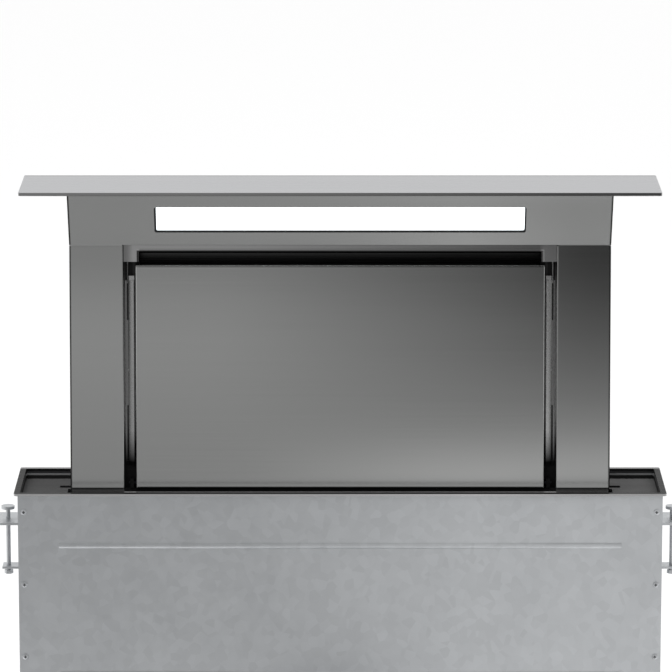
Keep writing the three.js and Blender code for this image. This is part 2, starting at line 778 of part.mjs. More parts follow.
// folded pan, hinged at its foot
function frontPanel() {
  const front = -PANEL_PROUD;
  const back = PANEL_DEPTH - PANEL_PROUD;
  const across = [
    [-PANEL_HALF, back],
    [-PANEL_HALF, front, FOLD_R],
    [PANEL_HALF, front, FOLD_R],
    [PANEL_HALF, back],
  ];
  const up = [
    [back, PANEL_LOW],
    [front, PANEL_LOW, FOLD_R],
    [front, PANEL_HIGH, FOLD_R],
    [back, PANEL_HIGH],
  ];
  const block = plateXY(foldedOutline(across), PANEL_LOW, PANEL_HIGH, 4).intersect(
    profileX(up, -PANEL_HALF, PANEL_HALF),
  );
  const inside = box(
    -PANEL_HALF + SHEET,
    PANEL_HALF - SHEET,
    front + SHEET,
    back + 1,
    PANEL_LOW + SHEET,
    PANEL_HIGH - SHEET,
  );
  const bore = bar("x", HINGE_DEPTH, HINGE_HEIGHT, -PANEL_HALF - 1, PANEL_HALF + 1, HINGE_PIN_R);
  return block.subtract(inside).subtract(bore);
}

function hingePin() {
  const end = PANEL_HALF + EAR_GAP + EAR_T + 2;
  return bar("x", HINGE_DEPTH, HINGE_HEIGHT, PANEL_HALF - 6, end, HINGE_PIN_R);
}

// polished bar under the panel and the pillars
function ledgeBar() {
  return box(-CARCASS_HALF, CARCASS_HALF, 0.5, FOOT_DEPTH, -1, 4.5);
}

// ear at each end of the foot sheet, which the panel's pin turns in
function hingeEar() {
  const x0 = PANEL_HALF + EAR_GAP;
  const x1 = x0 + EAR_T;
  const root = box(x0, x1, FOOT_DEPTH, FACE_BACK, 0, PANEL_LOW);
  const ear = root.add(box(x0, x1, 1.5, FACE_BACK, PANEL_LOW, HINGE_HEIGHT + 6));
  const bore = bar("x", HINGE_DEPTH, HINGE_HEIGHT, x0 - 1, x1 + 1, HINGE_PIN_R + TOUCH, 0, 24);
  return ear.subtract(bore);
}

// dark sheet across the tower's foot, which goes down through the tray
function footSheet() {
  const low = (TOWER_BOTTOM - FOOT_Z) / Math.cos(LEAN) + 3;
  const back = FOOT_DEPTH + SHEET;
  const inner = CARCASS_HALF - SHEET - TOUCH;
  const sheet = box(-CARCASS_HALF, CARCASS_HALF, FOOT_DEPTH, back, low, PANEL_LOW - 0.4);
  const flange = box(-inner, inner, FOOT_DEPTH, FACE_BACK + 8, low, low + SHEET);
  const ear = hingeEar();
  return joinAll([sheet, flange, ear, mirrored(ear)]);
}

place("cap_plate", capPlate(), brushed);
place("head_shell", headShell(), brushed);
place("light_gasket", lightGasket(), rubber, headFace);
place("light_diffuser", lightDiffuser(), lit, headFace);
place("light_tray", lightTray(), aluminium, headFace);
place("light_strip", lightStrip(), board, headFace);
placePair("pillar_cover", pillarCover(), brushed, face);
place("tower_carcass", towerCarcass(), zinc);
place("filter_frame", filterFrame(), dark, face);
for (const [side, x] of [
  ["right", FILTER_X],
  ["left", -FILTER_X],
]) {
  const filter = place(`grease_filter_${side}`, greaseFilter(), aluminium, face);
  filter.position.set(x, FACE_BACK + SHEET, FILTER_LOW);
  const handle = place(`filter_handle_${side}`, filterHandle(), black, face);
  handle.position.set(x, FACE_BACK + SHEET, FILTER_LOW);
}
place("upper_lip", upperLip(), brushed, face);
placePair("side_channel", sideChannel(), brushed, face);
place("front_panel", frontPanel(), brushed, face);
placePair("panel_hinge_pin", hingePin(), dark, face);
place("ledge_bar", ledgeBar(), bright, face);
place("foot_sheet", footSheet(), dark, face);

// ---------------------------------------------------------------- lift
function carriage() {
  const plate = box(CARCASS_HALF, CARCASS_HALF + 3, -20, 42, CARRIAGE_LOW, CARRIAGE_HIGH);
  const arm = box(CARCASS_HALF, INNER_X - RAIL_W + 4, -5, 5, CARRIAGE_LOW + 8, CARRIAGE_HIGH - 8);
  const shelf = box(CARCASS_HALF, SCREW_X + 13, 5, 40, NUT_TOP, NUT_TOP + 3);
  const hole = bar("z", SCREW_X, SCREW_Y, NUT_TOP - 1, NUT_TOP + 4, SCREW_R + 1);
  return joinAll([plate, arm, shelf]).subtract(hole);
}

// nylon block that runs inside the rail
function slider() {
  const half = RAIL_D / 2 - RAIL_WALL - SLIDE;
  const x0 = INNER_X - RAIL_W + RAIL_WALL + SLIDE;
  const x1 = INNER_X - RAIL_WALL - SLIDE;
  const block = box(x0, x1, -half, half, CARRIAGE_LOW, CARRIAGE_HIGH);
  const arm = box(
    x0 - 1,
    INNER_X - RAIL_W + 4,
    -5,
    5,
    CARRIAGE_LOW + 8,
    CARRIAGE_HIGH - 8,
  );
  return block.subtract(arm);
}

function guideRail() {
  const top = -36;
  const low = CARRIAGE_LOW - STROKE - 12;
  const x0 = INNER_X - RAIL_W;
  const block = box(x0, INNER_X, -RAIL_D / 2, RAIL_D / 2, low, top);
  const inside = box(
    x0 + RAIL_WALL,
    INNER_X - RAIL_WALL,
    -RAIL_D / 2 + RAIL_WALL,
    RAIL_D / 2 - RAIL_WALL,
    low - 1,
    top + 1,
  );
  const slot = box(x0 - 1, x0 + RAIL_WALL + 1, -RAIL_SLOT / 2, RAIL_SLOT / 2, low - 1, top + 1);
  return block.subtract(inside).subtract(slot);
}

function leadScrew() {
  const shaft = bar("z", SCREW_X, SCREW_Y, BELT_TOP - 20, -20, SCREW_R);
  const shoulder = bar("z", SCREW_X, SCREW_Y, BELT_TOP, BELT_TOP + 3, SCREW_R + 3);
  return shaft.add(shoulder);
}

function liftNut() {
  const body = bar("z", SCREW_X, SCREW_Y, NUT_TOP - 26, NUT_TOP, 9, SCREW_R + TOUCH);
  const flange = bar("z", SCREW_X, SCREW_Y, NUT_TOP - 4, NUT_TOP, 12.5, SCREW_R + TOUCH);
  return body.add(flange);
}

// block with the bearing that one end of the screw turns in
function bearingBlock(low, high) {
  const block = box(SCREW_X - 15, INNER_X, RAIL_D / 2 + 1, SCREW_Y + 19, low, high);
  return block.subtract(bar("z", SCREW_X, SCREW_Y, low - 1, high + 1, SCREW_R + TOUCH));
}

// the upper block also carries the end of the tray
function upperBearing() {
  const high = TRAY_FLOOR - SHEET;
  const low = -34;
  const post = box(INNER_X - 6, INNER_X, -44, SCREW_Y + 19, low, high);
  const shelf = box(TRAY_HOLE_HALF + 24, INNER_X, -44, -20, high - 3, high);
  return joinAll([bearingBlock(low, -22), post, shelf]);
}

function beltPulley() {
  const low = BELT_TOP - BELT_W - 2;
  const drum = bar("z", SCREW_X, SCREW_Y, low, BELT_TOP, PULLEY_R, SCREW_R);
  const flangeLow = bar("z", SCREW_X, SCREW_Y, low - 1.5, low, PULLEY_R + 3, SCREW_R);
  const flangeHigh = bar("z", SCREW_X, SCREW_Y, BELT_TOP - 1, BELT_TOP, PULLEY_R + 3, SCREW_R);
  return joinAll([drum, flangeLow, flangeHigh]);
}

// toothed belt round both pulleys, so that the two screws turn together
function timingBelt() {
  const inner = PULLEY_R + TOUCH;
  const outer = inner + BELT_T;
  const loop = (r, Kind) => {
    const path = new Kind();
    path.moveTo(-SCREW_X, SCREW_Y - r);
    path.lineTo(SCREW_X, SCREW_Y - r);
    path.absarc(SCREW_X, SCREW_Y, r, -Math.PI / 2, Math.PI / 2, false);
    path.lineTo(-SCREW_X, SCREW_Y + r);
    path.absarc(-SCREW_X, SCREW_Y, r, Math.PI / 2, 1.5 * Math.PI, false);
    return path;
  };
  const shape = loop(outer, THREE.Shape);
  shape.holes.push(loop(inner, THREE.Path));
  return plateXY(shape, BELT_TOP - BELT_W - 1.5, BELT_TOP - 1.5, 10);
}

// upright gearmotor under the left screw
function liftMotor() {
  const top = BELT_TOP - 20;
  const gearbox = bar("z", -SCREW_X, SCREW_Y, top - 24, top, 21);
  const can = bar("z", -SCREW_X, SCREW_Y, HOUSING_BOTTOM + 6, top - 24, 17);
  return gearbox.add(can);
}

function motorBracket() {
  const top = BELT_TOP - 20;
  const shelf = box(-INNER_X, -SCREW_X + 26, -6, INNER_Y, top - 27, top - 24);
  const wall = box(-INNER_X, -SCREW_X + 26, INNER_Y - 2, INNER_Y, top - 27, top + 6);
  return shelf.add(wall).subtract(bar("z", -SCREW_X, SCREW_Y, top - 28, top - 23, 17));
}

placePair("carriage", carriage(), zinc);
placePair("slider", slider(), nylon);
placePair("guide_rail", guideRail(), zinc);
placePair("lead_screw", leadScrew(), bright);
placePair("lift_nut", liftNut(), brass);
placePair("upper_bearing", upperBearing(), aluminium);
placePair("lower_bearing", bearingBlock(BELT_TOP + 3, BELT_TOP + 17), aluminium);
placePair("belt_pulley", beltPulley(), aluminium);
place("timing_belt", timingBelt(), rubber);
place("lift_motor", liftMotor(), black);
place("motor_bracket", motorBracket(), zinc);

// ---------------------------------------------------------------- blower
function scrollOutline(offset) {
  const points = [];
  const first = WHEEL_R + 12;
  const last = WHEEL_Z - (COLLAR_Z - COLLAR_R - 6);
  const steps = 44;
  const start = 0.02;
  const end = 1.5 * Math.PI;
  for (let i = 0; i <= steps; i += 1) {
    const angle = start + ((end - start) * i) / steps;
    const r = first + ((last - first) * i) / steps + offset;
    points.push([r * Math.cos(angle), WHEEL_Z + r * Math.sin(angle)]);
  }
  const endX = offset > 0 ? OUTLET_X : OUTLET_X + 1;
  points.push([endX, points[points.length - 1][1]]);
  points.push([endX, COLLAR_Z + COLLAR_R + 6 + offset]);
  points.push([first + 4, COLLAR_Z + COLLAR_R + 6 + offset]);
  return outlineOf(points);
}

// spiral wall, with the back plate and its inlet
function blowerScroll() {
  const block = plateXZ(scrollOutline(SHEET), SCROLL_FRONT, SCROLL_BACK);
  const inside = plateXZ(scrollOutline(0), SCROLL_FRONT - 1, SCROLL_BACK - SHEET);
  const inlet = bar("y", 0, WHEEL_Z, SCROLL_BACK - 5, SCROLL_BACK + 1, WHEEL_R - 14, 0, 48);
  return block.subtract(inside).subtract(inlet);
}

function blowerCover() {
  const plate = plateXZ(scrollOutline(SHEET), SCROLL_FRONT - SHEET, SCROLL_FRONT);
  const mouth = bar("y", 0, WHEEL_Z, SCROLL_FRONT - 5, SCROLL_FRONT + 5, MOTOR_R + TOUCH, 0, 48);
  return plate.subtract(mouth);
}

// drum of forward-curved blades on a disc, open towards the inlet
function blowerWheel() {
  const back = SCROLL_BACK - SHEET - 6;
  const front = back - WHEEL_DEPTH;
  const disc = bar("y", 0, WHEEL_Z, front, front + 2, WHEEL_R, 0, 48);
  const ring = bar("y", 0, WHEEL_Z, back - 4, back, WHEEL_R, WHEEL_R - 12, 48);
  const hub = bar("y", 0, WHEEL_Z, front - 4, front + 22, 14, SHAFT_R, 32);
  const blades = [];
  for (let i = 0; i < WHEEL_BLADES; i += 1) {
    const blade = new THREE.BoxGeometry(1.6, WHEEL_DEPTH - 3, 12);
    blade.rotateY(0.55);
    blade.translate(0, (front + back) / 2, WHEEL_R - 7);
    blade.rotateY((2 * Math.PI * i) / WHEEL_BLADES);
    blade.translate(0, 0, WHEEL_Z);
    blades.push(toSolid(blade));
  }
  const bore = bar("y", 0, WHEEL_Z, front - 5, front + 23, SHAFT_R, 0, 32);
  return joinAll([disc, ring, hub, ...blades]).subtract(bore);
}

function blowerMotor() {
  const inner = SCROLL_BACK - SHEET - 6 - WHEEL_DEPTH - 10;
  const can = bar("y", 0, WHEEL_Z, SCROLL_FRONT - 34, inner, MOTOR_R, 0, 48);
  const flange = bar("y", 0, WHEEL_Z, SCROLL_FRONT - SHEET - 3, SCROLL_FRONT - SHEET, MOTOR_R + 12, 0, 48);
  return can.add(flange);
}

// shaft that the wheel is fixed on
function motorShaft() {
  const inner = SCROLL_BACK - SHEET - 6 - WHEEL_DEPTH - 10;
  return bar("y", 0, WHEEL_Z, inner, inner + 30, SHAFT_R, 0, 32);
}

// square flange, round spigot, the crossbar and the eyes that the flaps' pins turn in
function outletCollar() {
  const x0 = OUTLET_X;
  const x1 = OUTLET_X + SHEET;
  const half = COLLAR_R + 6 + SHEET;
  const plate = box(x0, x1, SCROLL_FRONT - SHEET, SCROLL_BACK, COLLAR_Z - half, COLLAR_Z + half);
  const inner = COLLAR_R - SHEET;
  const tube = bar("x", COLLAR_Y, COLLAR_Z, x0, x0 + COLLAR_LENGTH, COLLAR_R, inner, 48);
  const mouth = bar("x", COLLAR_Y, COLLAR_Z, x0 - 1, x1 + 1, inner, 0, 48);
  const reach = COLLAR_R - SHEET / 2;
  const y = FLAP_PIN_Y;
  const low = COLLAR_Z - reach;
  const high = COLLAR_Z + reach;
  const cross = box(FLAP_X - 8, FLAP_X - 5, COLLAR_Y - 2, COLLAR_Y + 2, low, high);
  const eyes = [];
  for (const z of FLAP_EYES) {
    const bridge = box(FLAP_X - 6, FLAP_X + 4, COLLAR_Y - y - 3, COLLAR_Y + y + 3, z - 2, z + 2);
    const front = bar("z", FLAP_X, COLLAR_Y - y, z - 3, z + 3, FLAP_PIN_R + TOUCH, 0, 16);
    const rear = bar("z", FLAP_X, COLLAR_Y + y, z - 3, z + 3, FLAP_PIN_R + TOUCH, 0, 16);
    eyes.push(bridge.subtract(front).subtract(rear));
  }
  return joinAll([plate.subtract(mouth), tube, cross, ...eyes]);
}

// half disc that swings outward on an upright pin beside the crossbar
function damperFlap() {
  const r = COLLAR_R - SHEET - 1.2;
  const pinY = COLLAR_Y + FLAP_PIN_Y;
  const disc = bar("x", COLLAR_Y, COLLAR_Z, FLAP_X - 0.6, FLAP_X + 0.6, r, 0, 48);
  const half = box(FLAP_X - 5, FLAP_X + 5, pinY, COLLAR_Y + 2 * r, COLLAR_Z - r, COLLAR_Z + r);
  const pin = bar("z", FLAP_X, pinY, COLLAR_Z - r + 2, COLLAR_Z + r - 2, FLAP_PIN_R, 0, 16);
  const gaps = FLAP_EYES.map((z) => box(FLAP_X - 5, FLAP_X + 5, pinY - 5, pinY + 5, z - 3, z + 3));
  return disc.intersect(half).subtract(joinAll(gaps)).add(pin);
}

place("blower_scroll", blowerScroll(), zinc);
place("blower_cover", blowerCover(), zinc);
place("blower_wheel", blowerWheel(), black);
place("motor_shaft", motorShaft(), bright);
place("blower_motor", blowerMotor(), aluminium);
place("outlet_collar", outletCollar(), zinc);
const flap = damperFlap();
place("damper_flap_rear", flap, black);
place(
  "damper_flap_front",
  flap.translate([0, -COLLAR_Y, 0]).mirror([0, 1, 0]).translate([0, COLLAR_Y, 0]),
  black,
);

// ---------------------------------------------------------------- controls
function controlBox() {
  const [x0, x1] = CONTROL_X;
  const [z0, z1] = CONTROL_Z;
  const front = -WALL_Y - CONTROL_D;
  const block = box(x0, x1, front, -WALL_Y, z0, z1);
  const inside = box(x0 + SHEET, x1 - SHEET, front - 1, -WALL_Y - SHEET, z0 + SHEET, z1 - SHEET);
  const posts = [];
  for (const x of [x0 + 12, x1 - 12]) {
    for (const z of [z0 + 12, z1 - 12]) {
      posts.push(bar("y", x, z, -WALL_Y - 10, -WALL_Y - SHEET / 2, 3.5, 0, 16));
    }
  }
  return joinAll([block.subtract(inside), ...posts]);
}

function controlLid() {
  const [x0, x1] = CONTROL_X;
  const [z0, z1] = CONTROL_Z;
  const front = -WALL_Y - CONTROL_D;
  return box(x0, x1, front - SHEET, front, z0, z1);
}

function controlBoard() {
  const [x0, x1] = CONTROL_X;
  const [z0, z1] = CONTROL_Z;
  const back = -WALL_Y - 10;
  const card = box(x0 + 6, x1 - 6, back - 1.6, back, z0 + 6, z1 - 6);
  const parts = [
    box(x0 + 20, x0 + 58, back - 30, back - 1, z0 + 70, z0 + 104),
    box(x0 + 80, x0 + 98, back - 18, back - 1, z0 + 74, z0 + 100),
    box(x0 + 104, x0 + 122, back - 18, back - 1, z0 + 74, z0 + 100),
    box(x0 + 20, x0 + 120, back - 14, back - 1, z0 + 14, z0 + 26),
    bar("y", x0 + 76, z0 + 50, back - 28, back - 1, 11, 0, 24),
  ];
  return joinAll([card, ...parts]);
}

place("control_box", controlBox(), zinc);
place("control_lid", controlLid(), zinc);
place("control_board", controlBoard(), board);

export default vent;
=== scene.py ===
"""Looks of the retractable downdraft vent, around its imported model. Metres, Z up."""

import json
import math

import bmesh
import bpy
from mathutils import Matrix, Vector


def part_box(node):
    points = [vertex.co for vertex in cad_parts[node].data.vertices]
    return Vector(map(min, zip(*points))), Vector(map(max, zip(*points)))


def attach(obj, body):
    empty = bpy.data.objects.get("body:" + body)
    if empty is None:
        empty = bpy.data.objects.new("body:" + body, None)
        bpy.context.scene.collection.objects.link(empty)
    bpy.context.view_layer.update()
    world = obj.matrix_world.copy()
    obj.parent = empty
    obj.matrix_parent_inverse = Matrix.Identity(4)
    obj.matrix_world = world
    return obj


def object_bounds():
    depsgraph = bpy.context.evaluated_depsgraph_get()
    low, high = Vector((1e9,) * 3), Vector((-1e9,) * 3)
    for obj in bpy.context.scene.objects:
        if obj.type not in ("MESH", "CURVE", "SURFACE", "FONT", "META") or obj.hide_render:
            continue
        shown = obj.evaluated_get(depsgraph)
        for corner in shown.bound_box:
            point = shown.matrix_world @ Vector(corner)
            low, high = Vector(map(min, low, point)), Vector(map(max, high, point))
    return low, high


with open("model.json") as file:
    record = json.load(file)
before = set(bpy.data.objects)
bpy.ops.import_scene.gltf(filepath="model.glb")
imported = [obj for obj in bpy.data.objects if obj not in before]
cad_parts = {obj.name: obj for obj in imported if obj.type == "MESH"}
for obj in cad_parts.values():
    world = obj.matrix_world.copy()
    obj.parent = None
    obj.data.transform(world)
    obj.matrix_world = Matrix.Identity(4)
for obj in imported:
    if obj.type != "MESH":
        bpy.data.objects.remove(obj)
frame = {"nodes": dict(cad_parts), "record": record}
NODES = frame["nodes"]
CAD_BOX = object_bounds()
SCENE = bpy.context.scene

# ------------------------------------------------------------------ places and sizes
MM = 0.001
PILLAR_INNER = 293 * MM
PANEL_HALF = 276.5 * MM
STRIP_FOLD = 284.5 * MM
TOWER_HALF = 366 * MM
WAIST_Y = 7 * MM
WAIST_Z = 328.6 * MM
INTAKE_HALF = 271 * MM
INTAKE_TOP = WAIST_Z - 11.5 * MM
TRAY_FLOOR = -11 * MM
LIGHT_LEFT = -247.2 * MM
LIGHT_RIGHT = 248.6 * MM
FRAME_BORDER = 8 * MM
SHEET = 1.5 * MM

CAMERA_AT = (-0.0056, -6.140, 1.541)
CAMERA_DOWN_DEG = 11.45
FOCAL_MM = 248.6
SENSOR_MM = 36
SHIFT_Y = -0.1

# Grain of brushed sheet and speckle of paint, in waves per metre along X, Y and Z.
ALONG_X = (3, 1400, 1400)
ALONG_Z = (1400, 1400, 3)
FINE = (300, 300, 300)
# Dark and light colour of the brushed sheet that most of the tower is made of.
BRUSHED = ((0.455, 0.46, 0.455), (0.475, 0.48, 0.475))
BRUSHED_ROUGH = (0.15, 0.18)
WALL_BLUR = 0.4 * MM
FAR = 10 * MM
CRISP_FROM_DEG = 34


def make_camera():
    data = bpy.data.cameras.new("camera")
    data.lens = FOCAL_MM
    data.sensor_width = SENSOR_MM
    data.sensor_fit = "HORIZONTAL"
    data.shift_y = SHIFT_Y
    data.clip_start = 0.05
    data.clip_end = 100
    camera = bpy.data.objects.new("camera", data)
    camera.location = CAMERA_AT
    camera.rotation_euler = (math.radians(90 - CAMERA_DOWN_DEG), 0, 0)
    SCENE.collection.objects.link(camera)
    SCENE.camera = camera


# ------------------------------------------------------------------ material helpers
def new_material(name):
    material = bpy.data.materials.new(name)
    material.use_nodes = True
    tree = material.node_tree
    shader = tree.nodes["Principled BSDF"]
    return material, tree, shader


def add(tree, kind, **values):
    node = tree.nodes.new(kind)
    for key, value in values.items():
        if key in node.inputs:
            node.inputs[key].default_value = value
        else:
            setattr(node, key, value)
    return node


def grain_noise(tree, stretch, detail=2.0):
    """Noise with stretch waves per metre along X, Y and Z."""
    coords = add(tree, "ShaderNodeTexCoord")
    mapping = add(tree, "ShaderNodeMapping")
    mapping.inputs["Scale"].default_value = stretch
    noise = add(tree, "ShaderNodeTexNoise", Scale=1.0, Detail=detail, Roughness=0.6)
    tree.links.new(coords.outputs["Object"], mapping.inputs["Vector"])
    tree.links.new(mapping.outputs["Vector"], noise.inputs["Vector"])
    return noise.outputs["Fac"]


def ramp(tree, source, low, high, start=0.3, end=0.7):
    """Goes from low to high while source goes from start to end, and stays level outside."""
    node = add(tree, "ShaderNodeMapRange")
    node.inputs["From Min"].default_value = start
    node.inputs["From Max"].default_value = end
    node.inputs["To Min"].default_value = low
    node.inputs["To Max"].default_value = high
    tree.links.new(source, node.inputs["Value"])
    return node.outputs["Result"]


def tint(tree, source, dark, light, start=0.3, end=0.7):
    """Colour that goes from dark to light while source goes from start to end."""
    node = add(tree, "ShaderNodeValToRGB")
    node.color_ramp.elements[0].position = start
    node.color_ramp.elements[0].color = (*dark, 1)
    node.color_ramp.elements[1].position = end
    node.color_ramp.elements[1].color = (*light, 1)
    tree.links.new(source, node.inputs["Fac"])
    return node.outputs["Color"]


def mix(tree, factor, one, two):
    """Colour one where factor is 0, colour two where it is 1."""
    node = add(tree, "ShaderNodeMix", data_type="RGBA")
    tree.links.new(factor, node.inputs[0])
    tree.links.new(one, node.inputs[6])
    tree.links.new(two, node.inputs[7])
    return node.outputs[2]


def bump(tree, shader, source, strength, distance):
    node = add(tree, "ShaderNodeBump", Strength=strength, Distance=distance)
    tree.links.new(source, node.inputs["Height"])
    tree.links.new(node.outputs["Normal"], shader.inputs["Normal"])


def graded(tree, source, start, end, stops):
    """Grey that follows source from start to end through (share, value) stops."""
    node = add(tree, "ShaderNodeValToRGB")
    marks = node.color_ramp.elements
    while len(marks) < len(stops):
        marks.new(0.5)
    for mark, (share, value) in zip(marks, stops):
        mark.position = share
        mark.color = (value, value, value, 1)
    tree.links.new(ramp(tree, source, 0, 1, start, end), node.inputs["Fac"])
    return node.outputs["Color"]


def shaded(tree, colour, shade):
    """Colour multiplied by a grey."""
    node = add(tree, "ShaderNodeMix", data_type="RGBA", blend_type="MULTIPLY")
    node.inputs[0].default_value = 1
    tree.links.new(colour, node.inputs[6])
    tree.links.new(shade, node.inputs[7])
    return node.outputs[2]


def axes(tree, vector):
    parts = add(tree, "ShaderNodeSeparateXYZ")
    tree.links.new(vector, parts.inputs["Vector"])
    return parts.outputs["X"], parts.outputs["Y"], parts.outputs["Z"]


def place_of(tree):
    """X, Y and Z of the point, in metres of the object."""
    return axes(tree, add(tree, "ShaderNodeTexCoord").outputs["Object"])


def facing_of(tree):
    """X, Y and Z of the direction in which the face looks."""
    return axes(tree, add(tree, "ShaderNodeNewGeometry").outputs["True Normal"])


def size_of(tree, source):
    """The value without its sign."""
    node = add(tree, "ShaderNodeMath", operation="ABSOLUTE")
    tree.links.new(source, node.inputs[0])
    return node.outputs["Value"]


def product(tree, *shares):
    result = shares[0]
    for share in shares[1:]:
        node = add(tree, "ShaderNodeMath", operation="MULTIPLY")
        tree.links.new(result, node.inputs[0])
        tree.links.new(share, node.inputs[1])
        result = node.outputs["Value"]
    return result


def within(tree, half_x, half_y):
    """1 nearer to the vertical axis than half_x and half_y, 0 further out."""
    x, y, _ = place_of(tree)
    return product(
        tree,
        ramp(tree, size_of(tree, x), 1, 0, half_x - WALL_BLUR, half_x),
        ramp(tree, size_of(tree, y), 1, 0, half_y - WALL_BLUR, half_y),
    )


def facing_up(tree):
    """1 on faces that look up, 0 on upright ones."""
    return ramp(tree, facing_of(tree)[2], 0, 1, 0.35, 0.8)


def outer_folds(tree):
    """1 on the rounded folds at the tower's outer corners, 0 elsewhere."""
    turn = size_of(tree, facing_of(tree)[0])
    away = size_of(tree, place_of(tree)[0])
    return product(
        tree,
        ramp(tree, turn, 1, 0, 0.97, 0.995),
        ramp(tree, away, 0, 1, TOWER_HALF - 2.8 * MM, TOWER_HALF - 1.4 * MM),
    )


def distance_outside(tree, half_x, high):
    """How far a point lies above the gap |X| < half_x, Z < high, up to FAR. Beside the gap the
    distance grows faster."""
    x, _, z = place_of(tree)
    beside = ramp(tree, size_of(tree, x), 0, FAR, half_x - MM, half_x + 3 * MM)
    above = ramp(tree, z, 0, FAR, high, high + FAR)
    both = add(tree, "ShaderNodeCombineXYZ")
    tree.links.new(beside, both.inputs["X"])
    tree.links.new(above, both.inputs["Z"])
    length = add(tree, "ShaderNodeVectorMath", operation="LENGTH")
    tree.links.new(both.outputs["Vector"], length.inputs[0])
    return length.outputs["Value"]


def grey(tree, grain, low, high):
    """Grey that follows the grain from low to high."""
    return tint(tree, grain, (low, low, low), (high, high, high))


def metal(name, dark, light, rough, stretch, anisotropic=0.0, shade_outer_folds=False):
    """Metal with a fine grain along its stretch and a faint, broad unevenness. Where asked, the folds
    at the tower's outer corners are painted darker, as painted shade."""
    material, tree, shader = new_material(name)
    grain = grain_noise(tree, stretch)
    cloud = grain_noise(tree, (4, 4, 4))
    mixed = add(tree, "ShaderNodeMath", operation="MULTIPLY_ADD")
    tree.links.new(cloud, mixed.inputs[0])
    mixed.inputs[1].default_value = 0.35
    tree.links.new(grain, mixed.inputs[2])
    colour = tint(tree, mixed.outputs["Value"], dark, light, 0.4, 0.95)
    # Painted shade: a near-black grey on the outer folds, as a dark outline.
    if shade_outer_folds:
        colour = mix(tree, outer_folds(tree), colour, grey(tree, grain, 0.03, 0.05))
    tree.links.new(colour, shader.inputs["Base Color"])
    tree.links.new(ramp(tree, grain, *rough), shader.inputs["Roughness"])
    shader.inputs["Metallic"].default_value = 1.0
    shader.inputs["Anisotropic"].default_value = anisotropic
    bump(tree, shader, grain, 0.02, 0.0001)
    return material


def plain(name, dark, light, rough, scale, metallic=0.0, relief=0.1, specular=0.5):
    """Material with speckles of scale waves per metre."""
    material, tree, shader = new_material(name)
    speckle = grain_noise(tree, (scale, scale, scale), 4.0)
    tree.links.new(tint(tree, speckle, dark, light), shader.inputs["Base Color"])
    tree.links.new(ramp(tree, speckle, *rough), shader.inputs["Roughness"])
    shader.inputs["Metallic"].default_value = metallic
    shader.inputs["Specular IOR Level"].default_value = specular
    bump(tree, shader, speckle, relief, 0.0002)
    return material


def steel_shader(name, rough, stretch=ALONG_X):
    """Brushed steel whose colour is still to be linked."""
    material, tree, shader = new_material(name)
    grain = grain_noise(tree, stretch)
    tree.links.new(ramp(tree, grain, *rough), shader.inputs["Roughness"])
    shader.inputs["Metallic"].default_value = 1.0
    bump(tree, shader, grain, 0.02, 0.0001)
    return material, tree, shader, grain


def paint_shader(name, rough, specular):
    """Finely speckled paint whose colour is still to be linked."""
    material, tree, shader = new_material(name)
    speckle = grain_noise(tree, FINE, 4.0)
    tree.links.new(ramp(tree, speckle, *rough), shader.inputs["Roughness"])
    shader.inputs["Specular IOR Level"].default_value = specular
    bump(tree, shader, speckle, 0.03, 0.0002)
    return material, tree, shader, speckle


def cap_material():
    """Brushed cap with painted shade along its rear fold, and its upright edges painted darker than
    its top as shade.
    """
    material, tree, shader, grain = steel_shader("cap_stainless", (0.26, 0.30))
    y = place_of(tree)[1]
    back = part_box("cap_plate")[1][1]
    top = tint(tree, grain, (0.487, 0.492, 0.505), (0.517, 0.522, 0.537))
    # Painted shade: a dark band along the rear fold.
    fold = ramp(tree, y, 0, 1, back - 6 * MM, back - 5 * MM)
    top = mix(tree, fold, top, grey(tree, grain, 0.22, 0.25))
    # Painted shade: upright faces darker than the top.
    edge = grey(tree, grain, 0.32, 0.37)
    tree.links.new(mix(tree, facing_up(tree), edge, top), shader.inputs["Base Color"])
    return material


def strip_material():
    """Brushed strips beside the panel, with painted shade towards the pillar and painted shade that
    turns them near black at the foot. The right one has painted light, stronger higher up."""
    material, tree, shader, grain = steel_shader("strip_stainless", (0.24, 0.30), ALONG_Z)
    x, _, height = place_of(tree)
    unshaded_tone = grey(tree, grain, 0.46, 0.52)
    shaded_tone = grey(tree, grain, 0.20, 0.24)
    foot_shade = grey(tree, grain, 0.004, 0.007)
    # Painted shade: darker grey towards the pillar.
    towards_pillar = ramp(tree, size_of(tree, x), 0, 1, STRIP_FOLD, STRIP_FOLD + 3 * MM)
    colour = mix(tree, towards_pillar, unshaded_tone, shaded_tone)
    # Painted light on the right strip, brighter higher up.
    right_painted_light = graded(tree, height, 100 * MM, 300 * MM, ((0.1, 1.25), (0.9, 1.6)))
    on_right = ramp(tree, x, 0, 1, -10 * MM, 10 * MM)
    colour = mix(tree, on_right, colour, shaded(tree, colour, right_painted_light))
    # Painted shade: near black towards the foot.
    colour = mix(tree, ramp(tree, height, 1, 0, 32 * MM, 75 * MM), colour, foot_shade)
    tree.links.new(colour, shader.inputs["Base Color"])
    return material


def ledge_material():
    """Bar with a painted highlight in the two gaps beside the panel, and painted shade below the panel
    and, darker still, below the pillars.
    """
    material, tree, shader, grain = steel_shader("ledge_stainless", (0.16, 0.22))
    away = size_of(tree, place_of(tree)[0])
    middle = grey(tree, grain, 0.30, 0.36)
    gap_highlight = grey(tree, grain, 0.58, 0.66)
    shaded_tone = grey(tree, grain, 0.13, 0.16)
    # Painted highlight in the gaps, painted shade below the pillars.
    colour = mix(tree, ramp(tree, away, 0, 1, PANEL_HALF, PANEL_HALF + MM), middle, gap_highlight)
    colour = mix(tree, ramp(tree, away, 0, 1, PILLAR_INNER, PILLAR_INNER + MM), colour, shaded_tone)
    tree.links.new(colour, shader.inputs["Base Color"])
    return material


